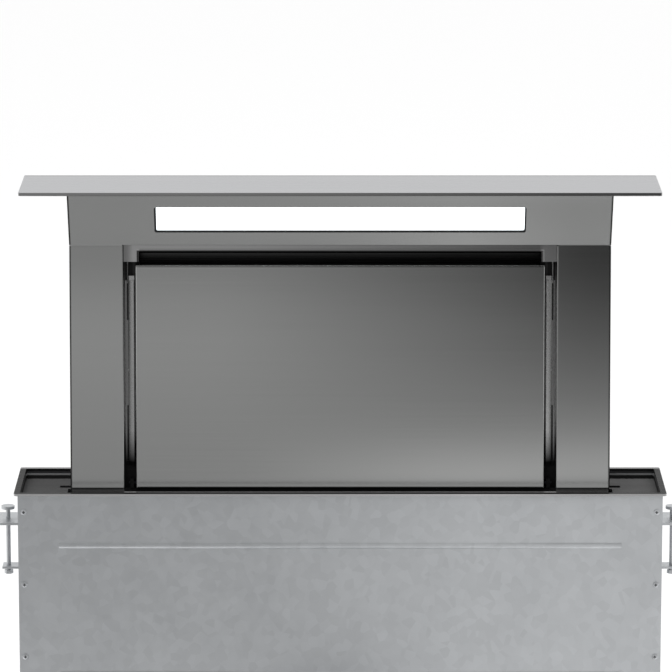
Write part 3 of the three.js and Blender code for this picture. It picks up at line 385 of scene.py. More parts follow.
def panel_material():
    """Brushed panel with a painted line of shade just below its folded top edge and a painted
    highlight along the edge itself.
    """
    material, tree, shader, grain = steel_shader("panel_stainless", BRUSHED_ROUGH)
    shader.inputs["Anisotropic"].default_value = 0.3
    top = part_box("front_panel")[1][2]
    # Painted shade a little below the top edge, painted highlight right at it.
    stops = ((0.0, 1.0), (0.55, 1.06), (0.66, 0.5), (0.85, 0.5), (0.89, 1.3), (1.0, 1.6))
    top_edge_light_and_shade = graded(tree, place_of(tree)[2], top - 6 * MM, top, stops)
    steel = tint(tree, grain, *BRUSHED)
    tree.links.new(shaded(tree, steel, top_edge_light_and_shade), shader.inputs["Base Color"])
    return material


def lip_material():
    """Brushed lip with painted shade where it rolls under above the intake, by the intake's ends, near
    the left pillar and on sideways and downward faces, and painted light past the intake's right end.
    """
    material, tree, shader, grain = steel_shader("lip_stainless", (0.17, 0.20))
    stops = ((0.05, 0.10), (0.23, 0.30), (0.37, 0.55), (0.50, 0.76), (0.64, 0.91), (0.80, 1.0))
    # Painted shade over the roll into the intake.
    shade = graded(tree, distance_outside(tree, INTAKE_HALF, INTAKE_TOP), 0, FAR, stops)
    x = place_of(tree)[0]
    stops = ((0.1, 0.52), (0.4, 0.60), (0.62, 0.76), (0.93, 1.0))
    # Painted shade towards the left pillar, painted light beyond the intake's right end.
    left_end_shade = graded(tree, x, -PILLAR_INNER, 14 * MM - PILLAR_INNER, stops)
    right_end_light = ramp(tree, x, 0, 1, INTAKE_HALF - 2 * MM, INTAKE_HALF + 4 * MM)
    steel = mix(tree, right_end_light, grey(tree, grain, 0.52, 0.55), grey(tree, grain, 0.80, 0.84))
    steel = shaded(tree, steel, left_end_shade)
    sideways, _, upwards = facing_of(tree)
    # Painted shade on sideways faces and on faces that look down.
    cheek_shade = graded(tree, size_of(tree, sideways), 0, 1, ((0.12, 1.0), (0.4, 0.12)))
    underside_shade = graded(tree, upwards, -1, 0, ((0.75, 0.12), (0.99, 1.0)))
    steel = shaded(tree, shaded(tree, steel, cheek_shade), underside_shade)
    tree.links.new(shaded(tree, steel, shade), shader.inputs["Base Color"])
    return material


def frame_material():
    """Brushed frame with a painted highlight on its back border and painted shade on its inner sides.
    Its outer sides are painted much lighter than its dark top, as a highlight.
    """
    material, tree, shader, grain = steel_shader("frame_stainless", (0.24, 0.30))
    half_x, half_y = (half - FRAME_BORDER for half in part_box("top_frame")[1][:2])
    y = place_of(tree)[1]
    top = grey(tree, grain, 0.085, 0.10)
    # Painted highlight along the back border.
    lit_top = grey(tree, grain, 0.42, 0.48)
    top = mix(tree, ramp(tree, y, 0, 1, half_y - 0.5 * MM, half_y), top, lit_top)
    inner = within(tree, half_x + 2 * MM, half_y + 2 * MM)
    # Painted shade on the inner sides, painted highlight on the outer ones.
    side = mix(tree, inner, grey(tree, grain, 0.55, 0.63), grey(tree, grain, 0.008, 0.012))
    tree.links.new(mix(tree, facing_up(tree), side, top), shader.inputs["Base Color"])
    shader.inputs["Specular Tint"].default_value = (0.5, 0.5, 0.5, 1)
    return material


def tray_material():
    """Dark paint with painted light towards the back and the right, and painted shade that makes its
    upright sides nearly black.
    """
    material, tree, shader, speckle = paint_shader("tray_paint", (0.5, 0.6), 0.15)
    x, y, _ = place_of(tree)
    # Painted light: the floor lighter towards the back.
    stops = ((0.40, 0.052), (0.70, 0.062), (0.86, 0.10), (0.97, 0.15))
    bottom = graded(tree, y, -70 * MM, 70 * MM, stops)
    bottom = shaded(tree, bottom, grey(tree, speckle, 0.94, 1.06))
    # Painted shade on the left, less towards the right.
    painted_light_to_right = graded(tree, x, -420 * MM, 420 * MM, ((0.0, 0.69), (1.0, 1.0)))
    bottom = shaded(tree, bottom, painted_light_to_right)
    # Painted shade: upright sides nearly black.
    wall_shade = grey(tree, speckle, 0.008, 0.012)
    tree.links.new(mix(tree, facing_up(tree), wall_shade, bottom), shader.inputs["Base Color"])
    return material


def foot_material():
    """Blackened sheet, with painted light making it a little lighter where it shows below the pillars.
    """
    material, tree, shader, speckle = paint_shader("foot_paint", (0.5, 0.65), 0.05)
    away = size_of(tree, place_of(tree)[0])
    # Painted light below the pillars.
    below = ramp(tree, away, 0, 1, PILLAR_INNER, PILLAR_INNER + MM)
    colour = mix(tree, below, grey(tree, speckle, 0.004, 0.007), grey(tree, speckle, 0.055, 0.07))
    tree.links.new(colour, shader.inputs["Base Color"])
    return material


def liner_material():
    """Sheet painted black as the shade behind the panel and the strips, with painted light along the
    narrow gaps between them, darker at the gaps' top and foot.
    """
    material, tree, shader, speckle = paint_shader("liner_paint", (0.5, 0.65), 0.05)
    x, _, z = place_of(tree)
    # Painted light in the narrow gaps, fading into shade at their top and foot.
    stops = ((0.18, 0.006), (0.33, 0.25), (0.60, 0.22), (0.87, 0.12), (0.955, 0.02))
    gap = shaded(tree, graded(tree, z, 0, 300 * MM, stops), grey(tree, speckle, 0.95, 1.05))
    stops = ((0.03, 0.0), (0.06, 1.0), (0.24, 1.0), (0.29, 0.15), (0.84, 0.15), (0.89, 1.0))
    bare = graded(tree, size_of(tree, x), PANEL_HALF, PILLAR_INNER, stops)
    # Painted shade: black everywhere else.
    black = grey(tree, speckle, 0.004, 0.008)
    tree.links.new(mix(tree, bare, black, gap), shader.inputs["Base Color"])
    return material


def carcass_material():
    """Brushed sheet outside, painted near black inside, where the intake opens, as the shade in the
    cavity.
    """
    material, tree, shader, grain = steel_shader("carcass_stainless", (0.24, 0.30))
    half_x, back = (v - SHEET + WALL_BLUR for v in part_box("tower_carcass")[1][:2])
    steel = grey(tree, grain, 0.455, 0.475)
    black = grey(tree, grain, 0.06, 0.08)
    # Painted shade: near black on the inside.
    tree.links.new(mix(tree, within(tree, half_x, back), steel, black), shader.inputs["Base Color"])
    return material


def zinc_material():
    """Galvanised sheet with faint crystals about a centimetre wide."""
    material, tree, shader = new_material("zinc_sheet")
    coords = add(tree, "ShaderNodeTexCoord")
    crystals = add(tree, "ShaderNodeTexVoronoi", Scale=85, Randomness=1.0)
    tree.links.new(coords.outputs["Object"], crystals.inputs["Vector"])
    shade, _, gloss = axes(tree, crystals.outputs["Color"])
    cloud = grain_noise(tree, (14, 14, 14), 3.0)
    sheet = tint(tree, cloud, (0.53, 0.545, 0.56), (0.57, 0.585, 0.60))
    crystal = graded(tree, shade, 0, 1, ((0.0, 0.955), (1.0, 1.04)))
    tree.links.new(shaded(tree, sheet, crystal), shader.inputs["Base Color"])
    tree.links.new(ramp(tree, gloss, 0.38, 0.44, 0, 1), shader.inputs["Roughness"])
    shader.inputs["Metallic"].default_value = 1.0
    bump(tree, shader, cloud, 0.02, 0.0002)
    return material


def lit_material():
    """Opal plastic lit from behind, a little less bright towards its ends, with painted shadow of its
    rim past them.
    """
    material, tree, shader = new_material("lit_diffuser")
    x = place_of(tree)[0]
    glow = tint(tree, size_of(tree, x), (0.95, 1.0, 1.0), (0.9, 0.98, 1.0), 0.1, 0.26)
    blur = 0.5 * MM
    # Painted shadow of the rim past the lit stretch.
    lit = product(
        tree,
        ramp(tree, x, 0, 1, LIGHT_LEFT - blur, LIGHT_LEFT + blur),
        ramp(tree, x, 1, 0, LIGHT_RIGHT - blur, LIGHT_RIGHT + blur),
    )
    glow = shaded(tree, glow, lit)
    tree.links.new(glow, shader.inputs["Emission Color"])
    tree.links.new(glow, shader.inputs["Base Color"])
    shader.inputs["Emission Strength"].default_value = 1.6
    shader.inputs["Roughness"].default_value = 0.4
    return material


# Dark colour, light colour, roughness and stretch, then anisotropy and the painted shade of the outer
# folds where it has them.
METALS = {
    "brushed_stainless": (*BRUSHED, BRUSHED_ROUGH, ALONG_X, 0.3),
    "pillar_stainless": (*BRUSHED, BRUSHED_ROUGH, ALONG_X, 0.3, True),
    "turned_steel": ((0.55, 0.56, 0.57), (0.66, 0.67, 0.68), (0.2, 0.3), (80, 80, 1600)),
    "brass": ((0.58, 0.42, 0.18), (0.70, 0.54, 0.27), (0.22, 0.34), (60, 60, 1500)),
}
# Dark colour, light colour, roughness and scale, then metallic, relief and specular where they
# differ from those of plain().
PLAINS = {
    "dark_steel": ((0.035, 0.036, 0.038), (0.055, 0.057, 0.06), (0.35, 0.45), 300, 0.5, 0.03),
    "satin_paint": ((0.15, 0.152, 0.155), (0.18, 0.182, 0.185), (0.4, 0.5), 300, 0, 0.03, 0.3),
    "blackened_steel": ((0.004, 0.004, 0.005), (0.008, 0.008, 0.009), (0.45, 0.6), 300, 0, 0.03, 0.05),
    "black_rubber": ((0.008, 0.008, 0.009), (0.016, 0.016, 0.018), (0.6, 0.8), 400),
    "black_plastic": ((0.012, 0.012, 0.014), (0.028, 0.028, 0.03), (0.4, 0.55), 500),
    "nylon": ((0.62, 0.60, 0.54), (0.74, 0.72, 0.66), (0.4, 0.55), 200),
    "aluminium": ((0.62, 0.63, 0.65), (0.70, 0.71, 0.73), (0.3, 0.4), 90, 1, 0.03),
    "circuit_board": ((0.02, 0.12, 0.05), (0.04, 0.20, 0.09), (0.35, 0.5), 250),
}


def make_materials():
    made = {name: metal(name, *look) for name, look in METALS.items()}
    made |= {name: plain(name, *look) for name, look in PLAINS.items()}
    made |= {
        "cap_stainless": cap_material(),
        "strip_stainless": strip_material(),
        "ledge_stainless": ledge_material(),
        "panel_stainless": panel_material(),
        "lip_stainless": lip_material(),
        "frame_stainless": frame_material(),
        "tray_paint": tray_material(),
        "foot_paint": foot_material(),
        "liner_paint": liner_material(),
        "carcass_stainless": carcass_material(),
        "zinc_sheet": zinc_material(),
        "lit_diffuser": lit_material(),
    }
    return made


def dress_nodes(materials):
    """Gives each node the material of its slot in the record, or its own one."""
    own = {
        "cap_plate": "cap_stainless",
        "top_frame": "frame_stainless",
        "motor_shaft": "turned_steel",
        # The filter frame gets the liner's paint, black as painted shade behind the intake.
        "filter_frame": "liner_paint",
        "foot_sheet": "foot_paint",
        "upper_lip": "lip_stainless",
        "front_panel": "panel_stainless",
        "tower_carcass": "carcass_stainless",
        "head_shell": "pillar_stainless",
        "recess_tray": "tray_paint",
        "ledge_bar": "ledge_stainless",
    }
    for side in ("left", "right"):
        own[f"pillar_cover_{side}"] = "pillar_stainless"
        own[f"side_channel_{side}"] = "strip_stainless"
        own[f"lead_screw_{side}"] = "turned_steel"
        own[f"panel_hinge_pin_{side}"] = "blackened_steel"
    slots = {entry["node"]: entry["material_slot"] for entry in frame["record"]["subparts"]}
    for name, obj in NODES.items():
        material = materials[own.get(name, slots[name])]
        if not obj.material_slots:
            obj.data.materials.append(material)
        for entry in obj.material_slots:
            entry.material = material


# ------------------------------------------------------------------ softened edges
def smoothing_group():
    """Shades a mesh smooth and keeps edges sharper than CRISP_FROM_DEG crisp."""
    group = bpy.data.node_groups.new("smooth_by_angle", "GeometryNodeTree")
    group.interface.new_socket("Geometry", in_out="INPUT", socket_type="NodeSocketGeometry")
    group.interface.new_socket("Geometry", in_out="OUTPUT", socket_type="NodeSocketGeometry")
    start = group.nodes.new("NodeGroupInput")
    end = group.nodes.new("NodeGroupOutput")
    forget = group.nodes.new("GeometryNodeRemoveAttribute")
    forget.inputs["Name"].default_value = "custom_normal"
    faces = group.nodes.new("GeometryNodeSetShadeSmooth")
    faces.domain = "FACE"
    edges = group.nodes.new("GeometryNodeSetShadeSmooth")
    edges.domain = "EDGE"
    angle = group.nodes.new("GeometryNodeInputMeshEdgeAngle")
    less = group.nodes.new("FunctionNodeCompare")
    less.operation = "LESS_THAN"
    less.inputs["B"].default_value = math.radians(CRISP_FROM_DEG)
    group.links.new(start.outputs[0], forget.inputs["Geometry"])
    group.links.new(forget.outputs["Geometry"], faces.inputs["Geometry"])
    group.links.new(faces.outputs["Geometry"], edges.inputs["Geometry"])
    group.links.new(angle.outputs["Unsigned Angle"], less.inputs["A"])
    group.links.new(less.outputs["Result"], edges.inputs["Shade Smooth"])
    group.links.new(edges.outputs["Geometry"], end.inputs[0])
    return group


# Width of the rounded edges, and the nodes that have it.
SOFT_EDGES = {
    0.9 * MM: ("front_panel", "pillar_cover_left", "pillar_cover_right", "top_frame"),
    0.6 * MM: ("head_shell", "upper_lip", "ledge_bar", "recess_tray", "cap_plate", "control_lid"),
    0.4 * MM: (
        "side_channel_left",
        "side_channel_right",
        "tower_carcass",
        "housing_rear",
        "housing_front",
        "control_box",
        "blower_scroll",
        "blower_cover",
        "blower_motor",
        "outlet_collar",
        "worktop_clamp_left",
        "worktop_clamp_right",
        "light_gasket",
        "lift_motor",
        "foot_sheet",
    ),
}


def soften(group):
    width_of = {name: width for width, names in SOFT_EDGES.items() for name in names}
    for name, obj in NODES.items():
        planar = obj.modifiers.new("planar", "DECIMATE")
        planar.decimate_type = "DISSOLVE"
        planar.angle_limit = math.radians(0.4)
        if name in width_of:
            edge = obj.modifiers.new("soft_edge", "BEVEL")
            edge.width = width_of[name]
            edge.segments = 3
            edge.limit_method = "ANGLE"
            edge.angle_limit = math.radians(40)
            edge.miter_outer = "MITER_ARC"
        smooth = obj.modifiers.new("smooth", "NODES")
        smooth.node_group = group


# ------------------------------------------------------------------ detail pieces
class Piece:
    """One mesh of many small solids, which rides on one body."""

    def __init__(self, name, body, material):
        self.name = name
        self.body = body
        self.material = material
        self.mesh = bmesh.new()

    def take(self, other, matrix):
        """Adds the solid that other() draws round the origin, moved by matrix."""
        before = len(self.mesh.verts)
        other(self.mesh)
        self.mesh.verts.ensure_lookup_table()
        new = self.mesh.verts[before:]
        bmesh.ops.transform(self.mesh, matrix=matrix, verts=new)

    def finish(self):
        data = bpy.data.meshes.new(self.name)
        bmesh.ops.recalc_face_normals(self.mesh, faces=self.mesh.faces)
        self.mesh.to_mesh(data)
        self.mesh.free()
        data.materials.append(self.material)
        data.shade_smooth()
        data.set_sharp_from_angle(angle=math.radians(CRISP_FROM_DEG))
        obj = bpy.data.objects.new(self.name, data)
        SCENE.collection.objects.link(obj)
        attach(obj, self.body)


def turned(profile, sides=24):
    """Solid of revolution about local Z from (radius, height) pairs, the first and last on axis."""

    def draw(mesh):
        rings = []
        for radius, height in profile:
            if radius == 0:
                rings.append([mesh.verts.new((0, 0, height))])
                continue
            ring = []
            for i in range(sides):
                a = 2 * math.pi * i / sides
                ring.append(mesh.verts.new((radius * math.cos(a), radius * math.sin(a), height)))
            rings.append(ring)
        for lower, upper in zip(rings, rings[1:]):
            for i in range(sides):
                j = (i + 1) % sides
                corners = [lower[i % len(lower)], lower[j % len(lower)]]
                corners += [upper[j % len(upper)], upper[i % len(upper)]]
                unique = list(dict.fromkeys(corners))
                mesh.faces.new(unique)

    return draw


def swept(points, outline, closed=True):
    """Bar with a fixed outline (across, up) drawn along points in the local XY plane."""

    def draw(mesh):
        rings = []
        count = len(points)
        for i, point in enumerate(points):
            here = Vector(point)
            back = Vector(points[i - 1]) if closed or i > 0 else here
            ahead = Vector(points[(i + 1) % count]) if closed or i < count - 1 else here
            way_in = (here - back).normalized() if here != back else (ahead - here).normalized()
            way_out = (ahead - here).normalized() if ahead != here else way_in
            along = (way_in + way_out).normalized()
            side = Vector((along.y, -along.x, 0))
            stretch = 1 / max(0.3, along.dot(way_out))
            ring = [here + side * a * stretch + Vector((0, 0, b)) for a, b in outline]
            rings.append([mesh.verts.new(place) for place in ring])
        pairs = list(zip(rings, rings[1:]))
        if closed:
            pairs.append((rings[-1], rings[0]))
        for one, two in pairs:
            for i in range(len(outline)):
                j = (i + 1) % len(outline)
                mesh.faces.new((one[i], one[j], two[j], two[i]))
        if not closed:
            mesh.faces.new(rings[0])
            mesh.faces.new(rings[-1])

    return draw


def looking(direction, place):
    """Matrix that puts local Z along direction at place."""
    turn = Vector(direction).to_track_quat("Z", "Y").to_matrix().to_4x4()
    return Matrix.Translation(Vector(place)) @ turn


def screw_head(radius):
    """Low domed head, and a cross-shaped solid at its top that stands for the recess."""
    r = radius
    arm, reach = 0.16 * r, 0.5 * r
    rim = [(0, -0.1 * r), (r, -0.1 * r), (r, 0.22 * r)]
    dome = [(0.86 * r, 0.42 * r), (0.62 * r, 0.54 * r), (0, 0.54 * r)]

    def cross(mesh):
        corners = [(arm, arm), (arm, reach), (-arm, reach), (-arm, arm), (-reach, arm)]
        corners += [(-reach, -arm), (-arm, -arm), (-arm, -reach), (arm, -reach), (arm, -arm)]
        corners += [(reach, -arm), (reach, arm)]
        low = [mesh.verts.new((x, y, 0.3 * r)) for x, y in corners]
        high = [mesh.verts.new((x, y, 0.56 * r)) for x, y in corners]
        mesh.faces.new(low)
        mesh.faces.new(high)
        for i in range(len(corners)):
            j = (i + 1) % len(corners)
            mesh.faces.new((low[i], low[j], high[j], high[i]))

    return turned(rim + dome, 20), cross


def hoop(outline, sides):
    """Closed ring about local Z from a closed outline of (radius, height)."""

    def draw(mesh):
        rings = []
        for i in range(sides):
            a = 2 * math.pi * i / sides
            ring = [(r * math.cos(a), r * math.sin(a), height) for r, height in outline]
            rings.append([mesh.verts.new(place) for place in ring])
        for one, two in zip(rings, rings[1:] + rings[:1]):
            for i in range(len(outline)):
                j = (i + 1) % len(outline)
                mesh.faces.new((one[i], one[j], two[j], two[i]))

    return draw


def rounded_loop(x0, x1, y0, y1, r, steps=6):
    """Points round a rectangle with rounded corners, in the XY plane."""
    left, right, low, high = x0 + r, x1 - r, y0 + r, y1 - r
    points = []
    for x, y, start in ((right, low, -90), (right, high, 0), (left, high, 90), (left, low, 180)):
        for i in range(steps + 1):
            a = math.radians(start + 90 * i / steps)
            points.append((x + r * math.cos(a), y + r * math.sin(a), 0))
    return points


def in_mm(points):
    return [tuple(v * MM for v in point) for point in points]


def screws(name, body, places, radius, materials, kind="zinc_sheet"):
    """Screw heads at (place, direction) pairs, with the recess drawn as a dark cross of its own, as
    painted shade.
    """
    heads = Piece(name, body, materials[kind])
    crosses = Piece(f"{name}_recess", body, materials["dark_steel"])
    head, cross = screw_head(radius)
    for place, direction in places:
        heads.take(head, looking(direction, place))
        crosses.take(cross, looking(direction, place))
    heads.finish()
    crosses.finish()


def upright_y(y, outward):
    """Matrix that lays a drawing made in XY onto the plane Y = y, its up pointing outward."""
    turn = Matrix(((1, 0, 0), (0, 0, outward), (0, 1, 0))).to_4x4()
    return Matrix.Translation((0, y, 0)) @ turn


# Screws of the housing, in metres: X of those along its foot, Z of those on its sides.
FRONT_FOOT_SCREWS = (-0.36, -0.27, -0.18, 0.28, 0.36)
BACK_FOOT_SCREWS = (-0.36, -0.18, 0, 0.18, 0.36)
BRACKET_SCREWS = (-0.18, -0.29, -0.40, -0.50)
SEAM_SCREWS = (-0.024, -0.54)
SEAM_SCREW_Y = 27 * MM
FRONT_SCREW_ROWS = 7
BEAD = [(-4, 0), (-2.8, 0.9), (-1.2, 1.4), (1.2, 1.4), (2.8, 0.9), (4, 0), (0, -0.5)]


def housing_details(materials):
    """Screws and pressed beads of the housing."""
    low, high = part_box("housing_rear")
    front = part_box("housing_front")[0][1]
    side, back = high[0], high[1]
    inset = 8 * MM
    top, bottom = high[2] - 24 * MM, low[2] + 10 * MM
    heads = []
    for i in range(FRONT_SCREW_ROWS):
        z = top + (bottom - top) * i / (FRONT_SCREW_ROWS - 1)
        for s in (-1, 1):
            heads.append(((s * (side - inset), front, z), (0, -1, 0)))
    heads += [((x, front, bottom), (0, -1, 0)) for x in FRONT_FOOT_SCREWS]
    heads += [((x, back, bottom), (0, 1, 0)) for x in BACK_FOOT_SCREWS]
    for s in (-1, 1):
        heads += [((s * side, 0, z), (s, 0, 0)) for z in BRACKET_SCREWS]
        heads += [((s * side, SEAM_SCREW_Y, z), (s, 0, 0)) for z in SEAM_SCREWS]
    screws("housing_screws", "housing", heads, 4 * MM, materials)
    beads = Piece("housing_beads", "housing", materials["zinc_sheet"])
    outline = in_mm(BEAD)
    loop = in_mm(rounded_loop(-390, 390, -590, -60, 30))
    beads.take(swept(loop, outline), upright_y(back, 1))
    for z in (-70, -250):
        run = in_mm([(-380, z, 0), (380, z, 0)])
        beads.take(swept(run, outline, closed=False), upright_y(front, -1))
    beads.finish()


# The spiral casing's wall, in millimetres from the wheel's axis: it starts at SPIRAL_START_RAD and
# grows over three quarters of a turn.
SPIRAL_INNER = 92
SPIRAL_GROWTH = 77
SPIRAL_START_RAD = 0.02
SPIRAL_END_RAD = 1.5 * math.pi
MOTOR_BOLTS = 46 * MM
MOTOR_RIBS = 24
RIB_RADIUS = 40 * MM


def on_circle(radius, angle, centre_z, y):
    """Point on a circle round the blower's axis, which runs along Y."""
    return (radius * math.cos(angle), y, centre_z + radius * math.sin(angle))


def blower_details(materials):
    """Screws of the blower's cover, ribs and cap of its motor, and beads of the spigot."""
    cover_low, cover_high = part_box("blower_cover")
    front = cover_low[1]
    wheel_low, wheel_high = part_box("blower_wheel")
    middle_z = (wheel_low[2] + wheel_high[2]) / 2
    heads = []
    for deg in (30, 75, 120, 165, 210, 255):
        a = math.radians(deg)
        share = (a - SPIRAL_START_RAD) / (SPIRAL_END_RAD - SPIRAL_START_RAD)
        rim = SPIRAL_INNER + SPIRAL_GROWTH * share
        heads.append((on_circle((rim - 7) * MM, a, middle_z, front), (0, -1, 0)))
    right = cover_high[0] - 8 * MM
    low = cover_low[2] + 8 * MM
    for x, z in ((right, low), (right, low + 145 * MM), (50 * MM, low), (140 * MM, low)):
        heads.append(((x, front, z), (0, -1, 0)))
    for deg in (45, 135, 225, 315):
        at = on_circle(MOTOR_BOLTS, math.radians(deg), middle_z, front - 3 * MM)
        heads.append((at, (0, -1, 0)))
    screws("blower_screws", "housing", heads, 3.2 * MM, materials)
    cap_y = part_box("blower_motor")[0][1]
    middle = Vector((0, 0, middle_z))
    ribs = Piece("blower_motor_ribs", "housing", materials["aluminium"])
    outline = in_mm([(-0.9, -1), (-0.6, 2.2), (0.6, 2.2), (0.9, -1)])
    run = [(0, cap_y + 3 * MM, 0), (0, front - 4 * MM, 0)]
    for i in range(MOTOR_RIBS):
        turn = Matrix.Rotation(2 * math.pi * i / MOTOR_RIBS, 4, "Y")
        outwards = Matrix.Translation((0, 0, RIB_RADIUS))
        ribs.take(swept(run, outline, closed=False), Matrix.Translation(middle) @ turn @ outwards)
    ribs.finish()
    dome = Piece("blower_motor_cap", "housing", materials["dark_steel"])
    profile = [(0, -0.8), (31, -0.8), (31, 0), (29, 0.5), (10, 0.5), (9, 0.2), (0, 0.2)]
    at = looking((0, -1, 0), (0, cap_y + 0.6 * MM, middle_z))
    dome.take(turned(in_mm(profile), 48), at)
    dome.finish()
    spigot_low, spigot_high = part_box("outlet_collar")
    centre_y = (spigot_low[1] + SHEET + spigot_high[1]) / 2
    centre_z = (spigot_low[2] + spigot_high[2]) / 2
    ring = in_mm([(74.6, -2.2), (75.2, -2), (76.2, -0.8), (76.2, 0.8), (75.2, 2), (74.6, 2.2)])
    bead = Piece("spigot_bead", "housing", materials["zinc_sheet"])
    for x in (spigot_high[0] - 22 * MM, spigot_high[0] - 6 * MM):
        bead.take(hoop(ring, 72), looking((1, 0, 0), (x, centre_y, centre_z)))
    bead.finish()


def control_details(materials):
    """Screws of the control box's lid and the grommets of its cables."""
    low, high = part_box("control_lid")
    inset = 9 * MM
    heads = []
    for x in (low[0] + inset, high[0] - inset):
        for z in (low[2] + inset, high[2] - inset):
            heads.append(((x, low[1], z), (0, -1, 0)))
    screws("control_screws", "housing", heads, 3.2 * MM, materials)
    rims = Piece("control_grommets", "housing", materials["black_rubber"])
    ring = in_mm([(4, -1), (4, 2.2), (7, 2.2), (8.5, 1), (8.5, -1)])
    box_low, box_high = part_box("control_box")
    for i in range(3):
        x = box_low[0] + (40 + 35 * i) * MM
        at = (x, (box_low[1] + box_high[1]) / 2, box_low[2])
        rims.take(hoop(ring, 32), looking((0, 0, -1), at))
    rims.finish()


def tray_lip(materials):
    """Satin bead on the gasket along the tray's back edge, with its ends turned forward."""
    x, y = (half - FRAME_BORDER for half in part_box("top_frame")[1][:2])
    turn = 3 * MM
    corner = [(math.sin(a), math.cos(a)) for a in (math.radians(d) for d in (90, 60, 30, 0))]
    right = [(x - turn + turn * u, y - turn + turn * v, 0) for u, v in corner]
    run = [(x, y - 2.5 * turn, 0), *right]
    run += [(-a, b, c) for a, b, c in reversed(run)]
    outline = in_mm([(-0.8, -5.9), (0.2, -5.9), (0.2, -3.3), (-0.8, -3.3)])
    lip = Piece("tray_lip", "housing", materials["satin_paint"])
    lip.take(swept(run, outline, closed=False), Matrix.Identity(4))
    lip.finish()


def waist_seams(materials):
    """Edge of the head's inner flange, which shows in the narrow gap above each pillar."""
    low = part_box("pillar_cover_right")[1][2] + 0.1 * MM
    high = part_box("head_shell")[0][2] - 0.1 * MM
    y = WAIST_Y + 1.2 * MM
    ends = PILLAR_INNER + SHEET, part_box("tower_carcass")[1][0]
    outline = [(-0.6 * MM, low), (0.6 * MM, low), (0.6 * MM, high), (-0.6 * MM, high)]
    seams = Piece("waist_seams", "tower", materials["brushed_stainless"])
    for s in (-1, 1):
        run = [(s * x, y, 0) for x in ends]
        seams.take(swept(run, outline, closed=False), Matrix.Identity(4))
    seams.finish()


BACK_SCREW_ROWS = 5
HEAD_SCREWS = (-0.33, -0.165, 0, 0.165, 0.33)


def tower_details(materials):
    """Screws on the tower's back: up both sides, and a row along the head."""
    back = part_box("head_shell")[1][1]
    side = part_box("tower_carcass")[1][0]
    head_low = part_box("head_shell")[0][2]
    heads = []
    for i in range(BACK_SCREW_ROWS):
        z = 30 * MM + (head_low - 50 * MM) * i / (BACK_SCREW_ROWS - 1)
        for s in (-1, 1):
            heads.append(((s * (side - 9 * MM), back, z), (0, 1, 0)))
    heads += [((x, back, head_low + 14 * MM), (0, 1, 0)) for x in HEAD_SCREWS]
    screws("tower_screws", "tower", heads, 3.2 * MM, materials, "aluminium")


# ------------------------------------------------------------------ stage and light
def card(name, size, location, rotation_deg, material, reflections_only=False):
    """Flat board for the stage, which isn't part of the object."""
    w, h = size[0] / 2, size[1] / 2
    mesh = bpy.data.meshes.new(name)
    mesh.from_pydata([(-w, -h, 0), (w, -h, 0), (w, h, 0), (-w, h, 0)], [], [(0, 1, 2, 3)])
    mesh.materials.append(material)
    obj = bpy.data.objects.new(name, mesh)
    obj.location = location
    obj.rotation_euler = [math.radians(a) for a in rotation_deg]
    SCENE.collection.objects.link(obj)
    if reflections_only:
        for ray in ("camera", "diffuse", "shadow", "transmission", "volume_scatter"):
            setattr(obj, f"visible_{ray}", False)


def floor():
    material, _, shader = new_material("floor")
    shader.inputs["Base Color"].default_value = (0.92, 0.92, 0.92, 1)
    shader.inputs["Roughness"].default_value = 0.8
    low = CAD_BOX[0][2]
    card("floor", (60, 60), (0, 0, low - 0.5 * MM), (0, 0, 0), material)


def area(name, location, target, size, power):
    """White lamp that looks at the target and shows in no reflection."""
    data = bpy.data.lights.new(name, "AREA")
    data.shape = "RECTANGLE"
    data.size, data.size_y = size
    data.energy = power
    obj = bpy.data.objects.new(name, data)
    obj.location = location
    direction = Vector(target) - Vector(location)
    obj.rotation_euler = direction.to_track_quat("-Z", "Y").to_euler()
    obj.visible_camera = False
    obj.visible_glossy = False
    SCENE.collection.objects.link(obj)


def make_world():
    """Sky that is white to the camera and grows brighter with height for everything else."""
    world = bpy.data.worlds.new("world")
    SCENE.world = world
    world.use_nodes = True
    tree = world.node_tree
    height = axes(tree, add(tree, "ShaderNodeTexCoord").outputs["Generated"])[2]
    sky = tint(tree, height, (0.62, 0.62, 0.62), (1.1, 1.1, 1.1), 0.0, 0.5)
    white = add(tree, "ShaderNodeRGB")
    white.outputs[0].default_value = (1, 1, 1, 1)
    seen = add(tree, "ShaderNodeLightPath")
    colour = mix(tree, seen.outputs["Is Camera Ray"], sky, white.outputs[0])
    tree.links.new(colour, tree.nodes["Background"].inputs["Color"])


def glowing_card(name, size, place, rotation_deg, paint):
    """Board seen only in reflections, whose glow paint(tree, x, y) draws over its plane."""
    material, tree, _ = new_material(name)
    x, y, _ = place_of(tree)
    glow = add(tree, "ShaderNodeEmission")
    tree.links.new(paint(tree, x, y), glow.inputs["Color"])
    tree.links.new(glow.outputs["Emission"], tree.nodes["Material Output"].inputs["Surface"])
    card(name, size, place, rotation_deg, material, reflections_only=True)


# Half the part of each card that the steel mirrors: up the studio card, along the other two.
STUDIO_HALF = 200 * MM
WORKTOP_HALF = 400 * MM
RECESS_HALF = 370 * MM
# Where on the studio card left turns into right, high up and low down, and where low meets high.
HIGH_TURN = (-180 * MM, 380 * MM)
LOW_TURN = (-150 * MM, 160 * MM)
LOW_TO_HIGH = (-140 * MM, -30 * MM)
# Where on the worktop card the foot's part ends and the head's two parts meet.
FOOT_TO_HEAD = (90 * MM, 120 * MM)
WITHIN_HEAD = (133 * MM, 198 * MM)


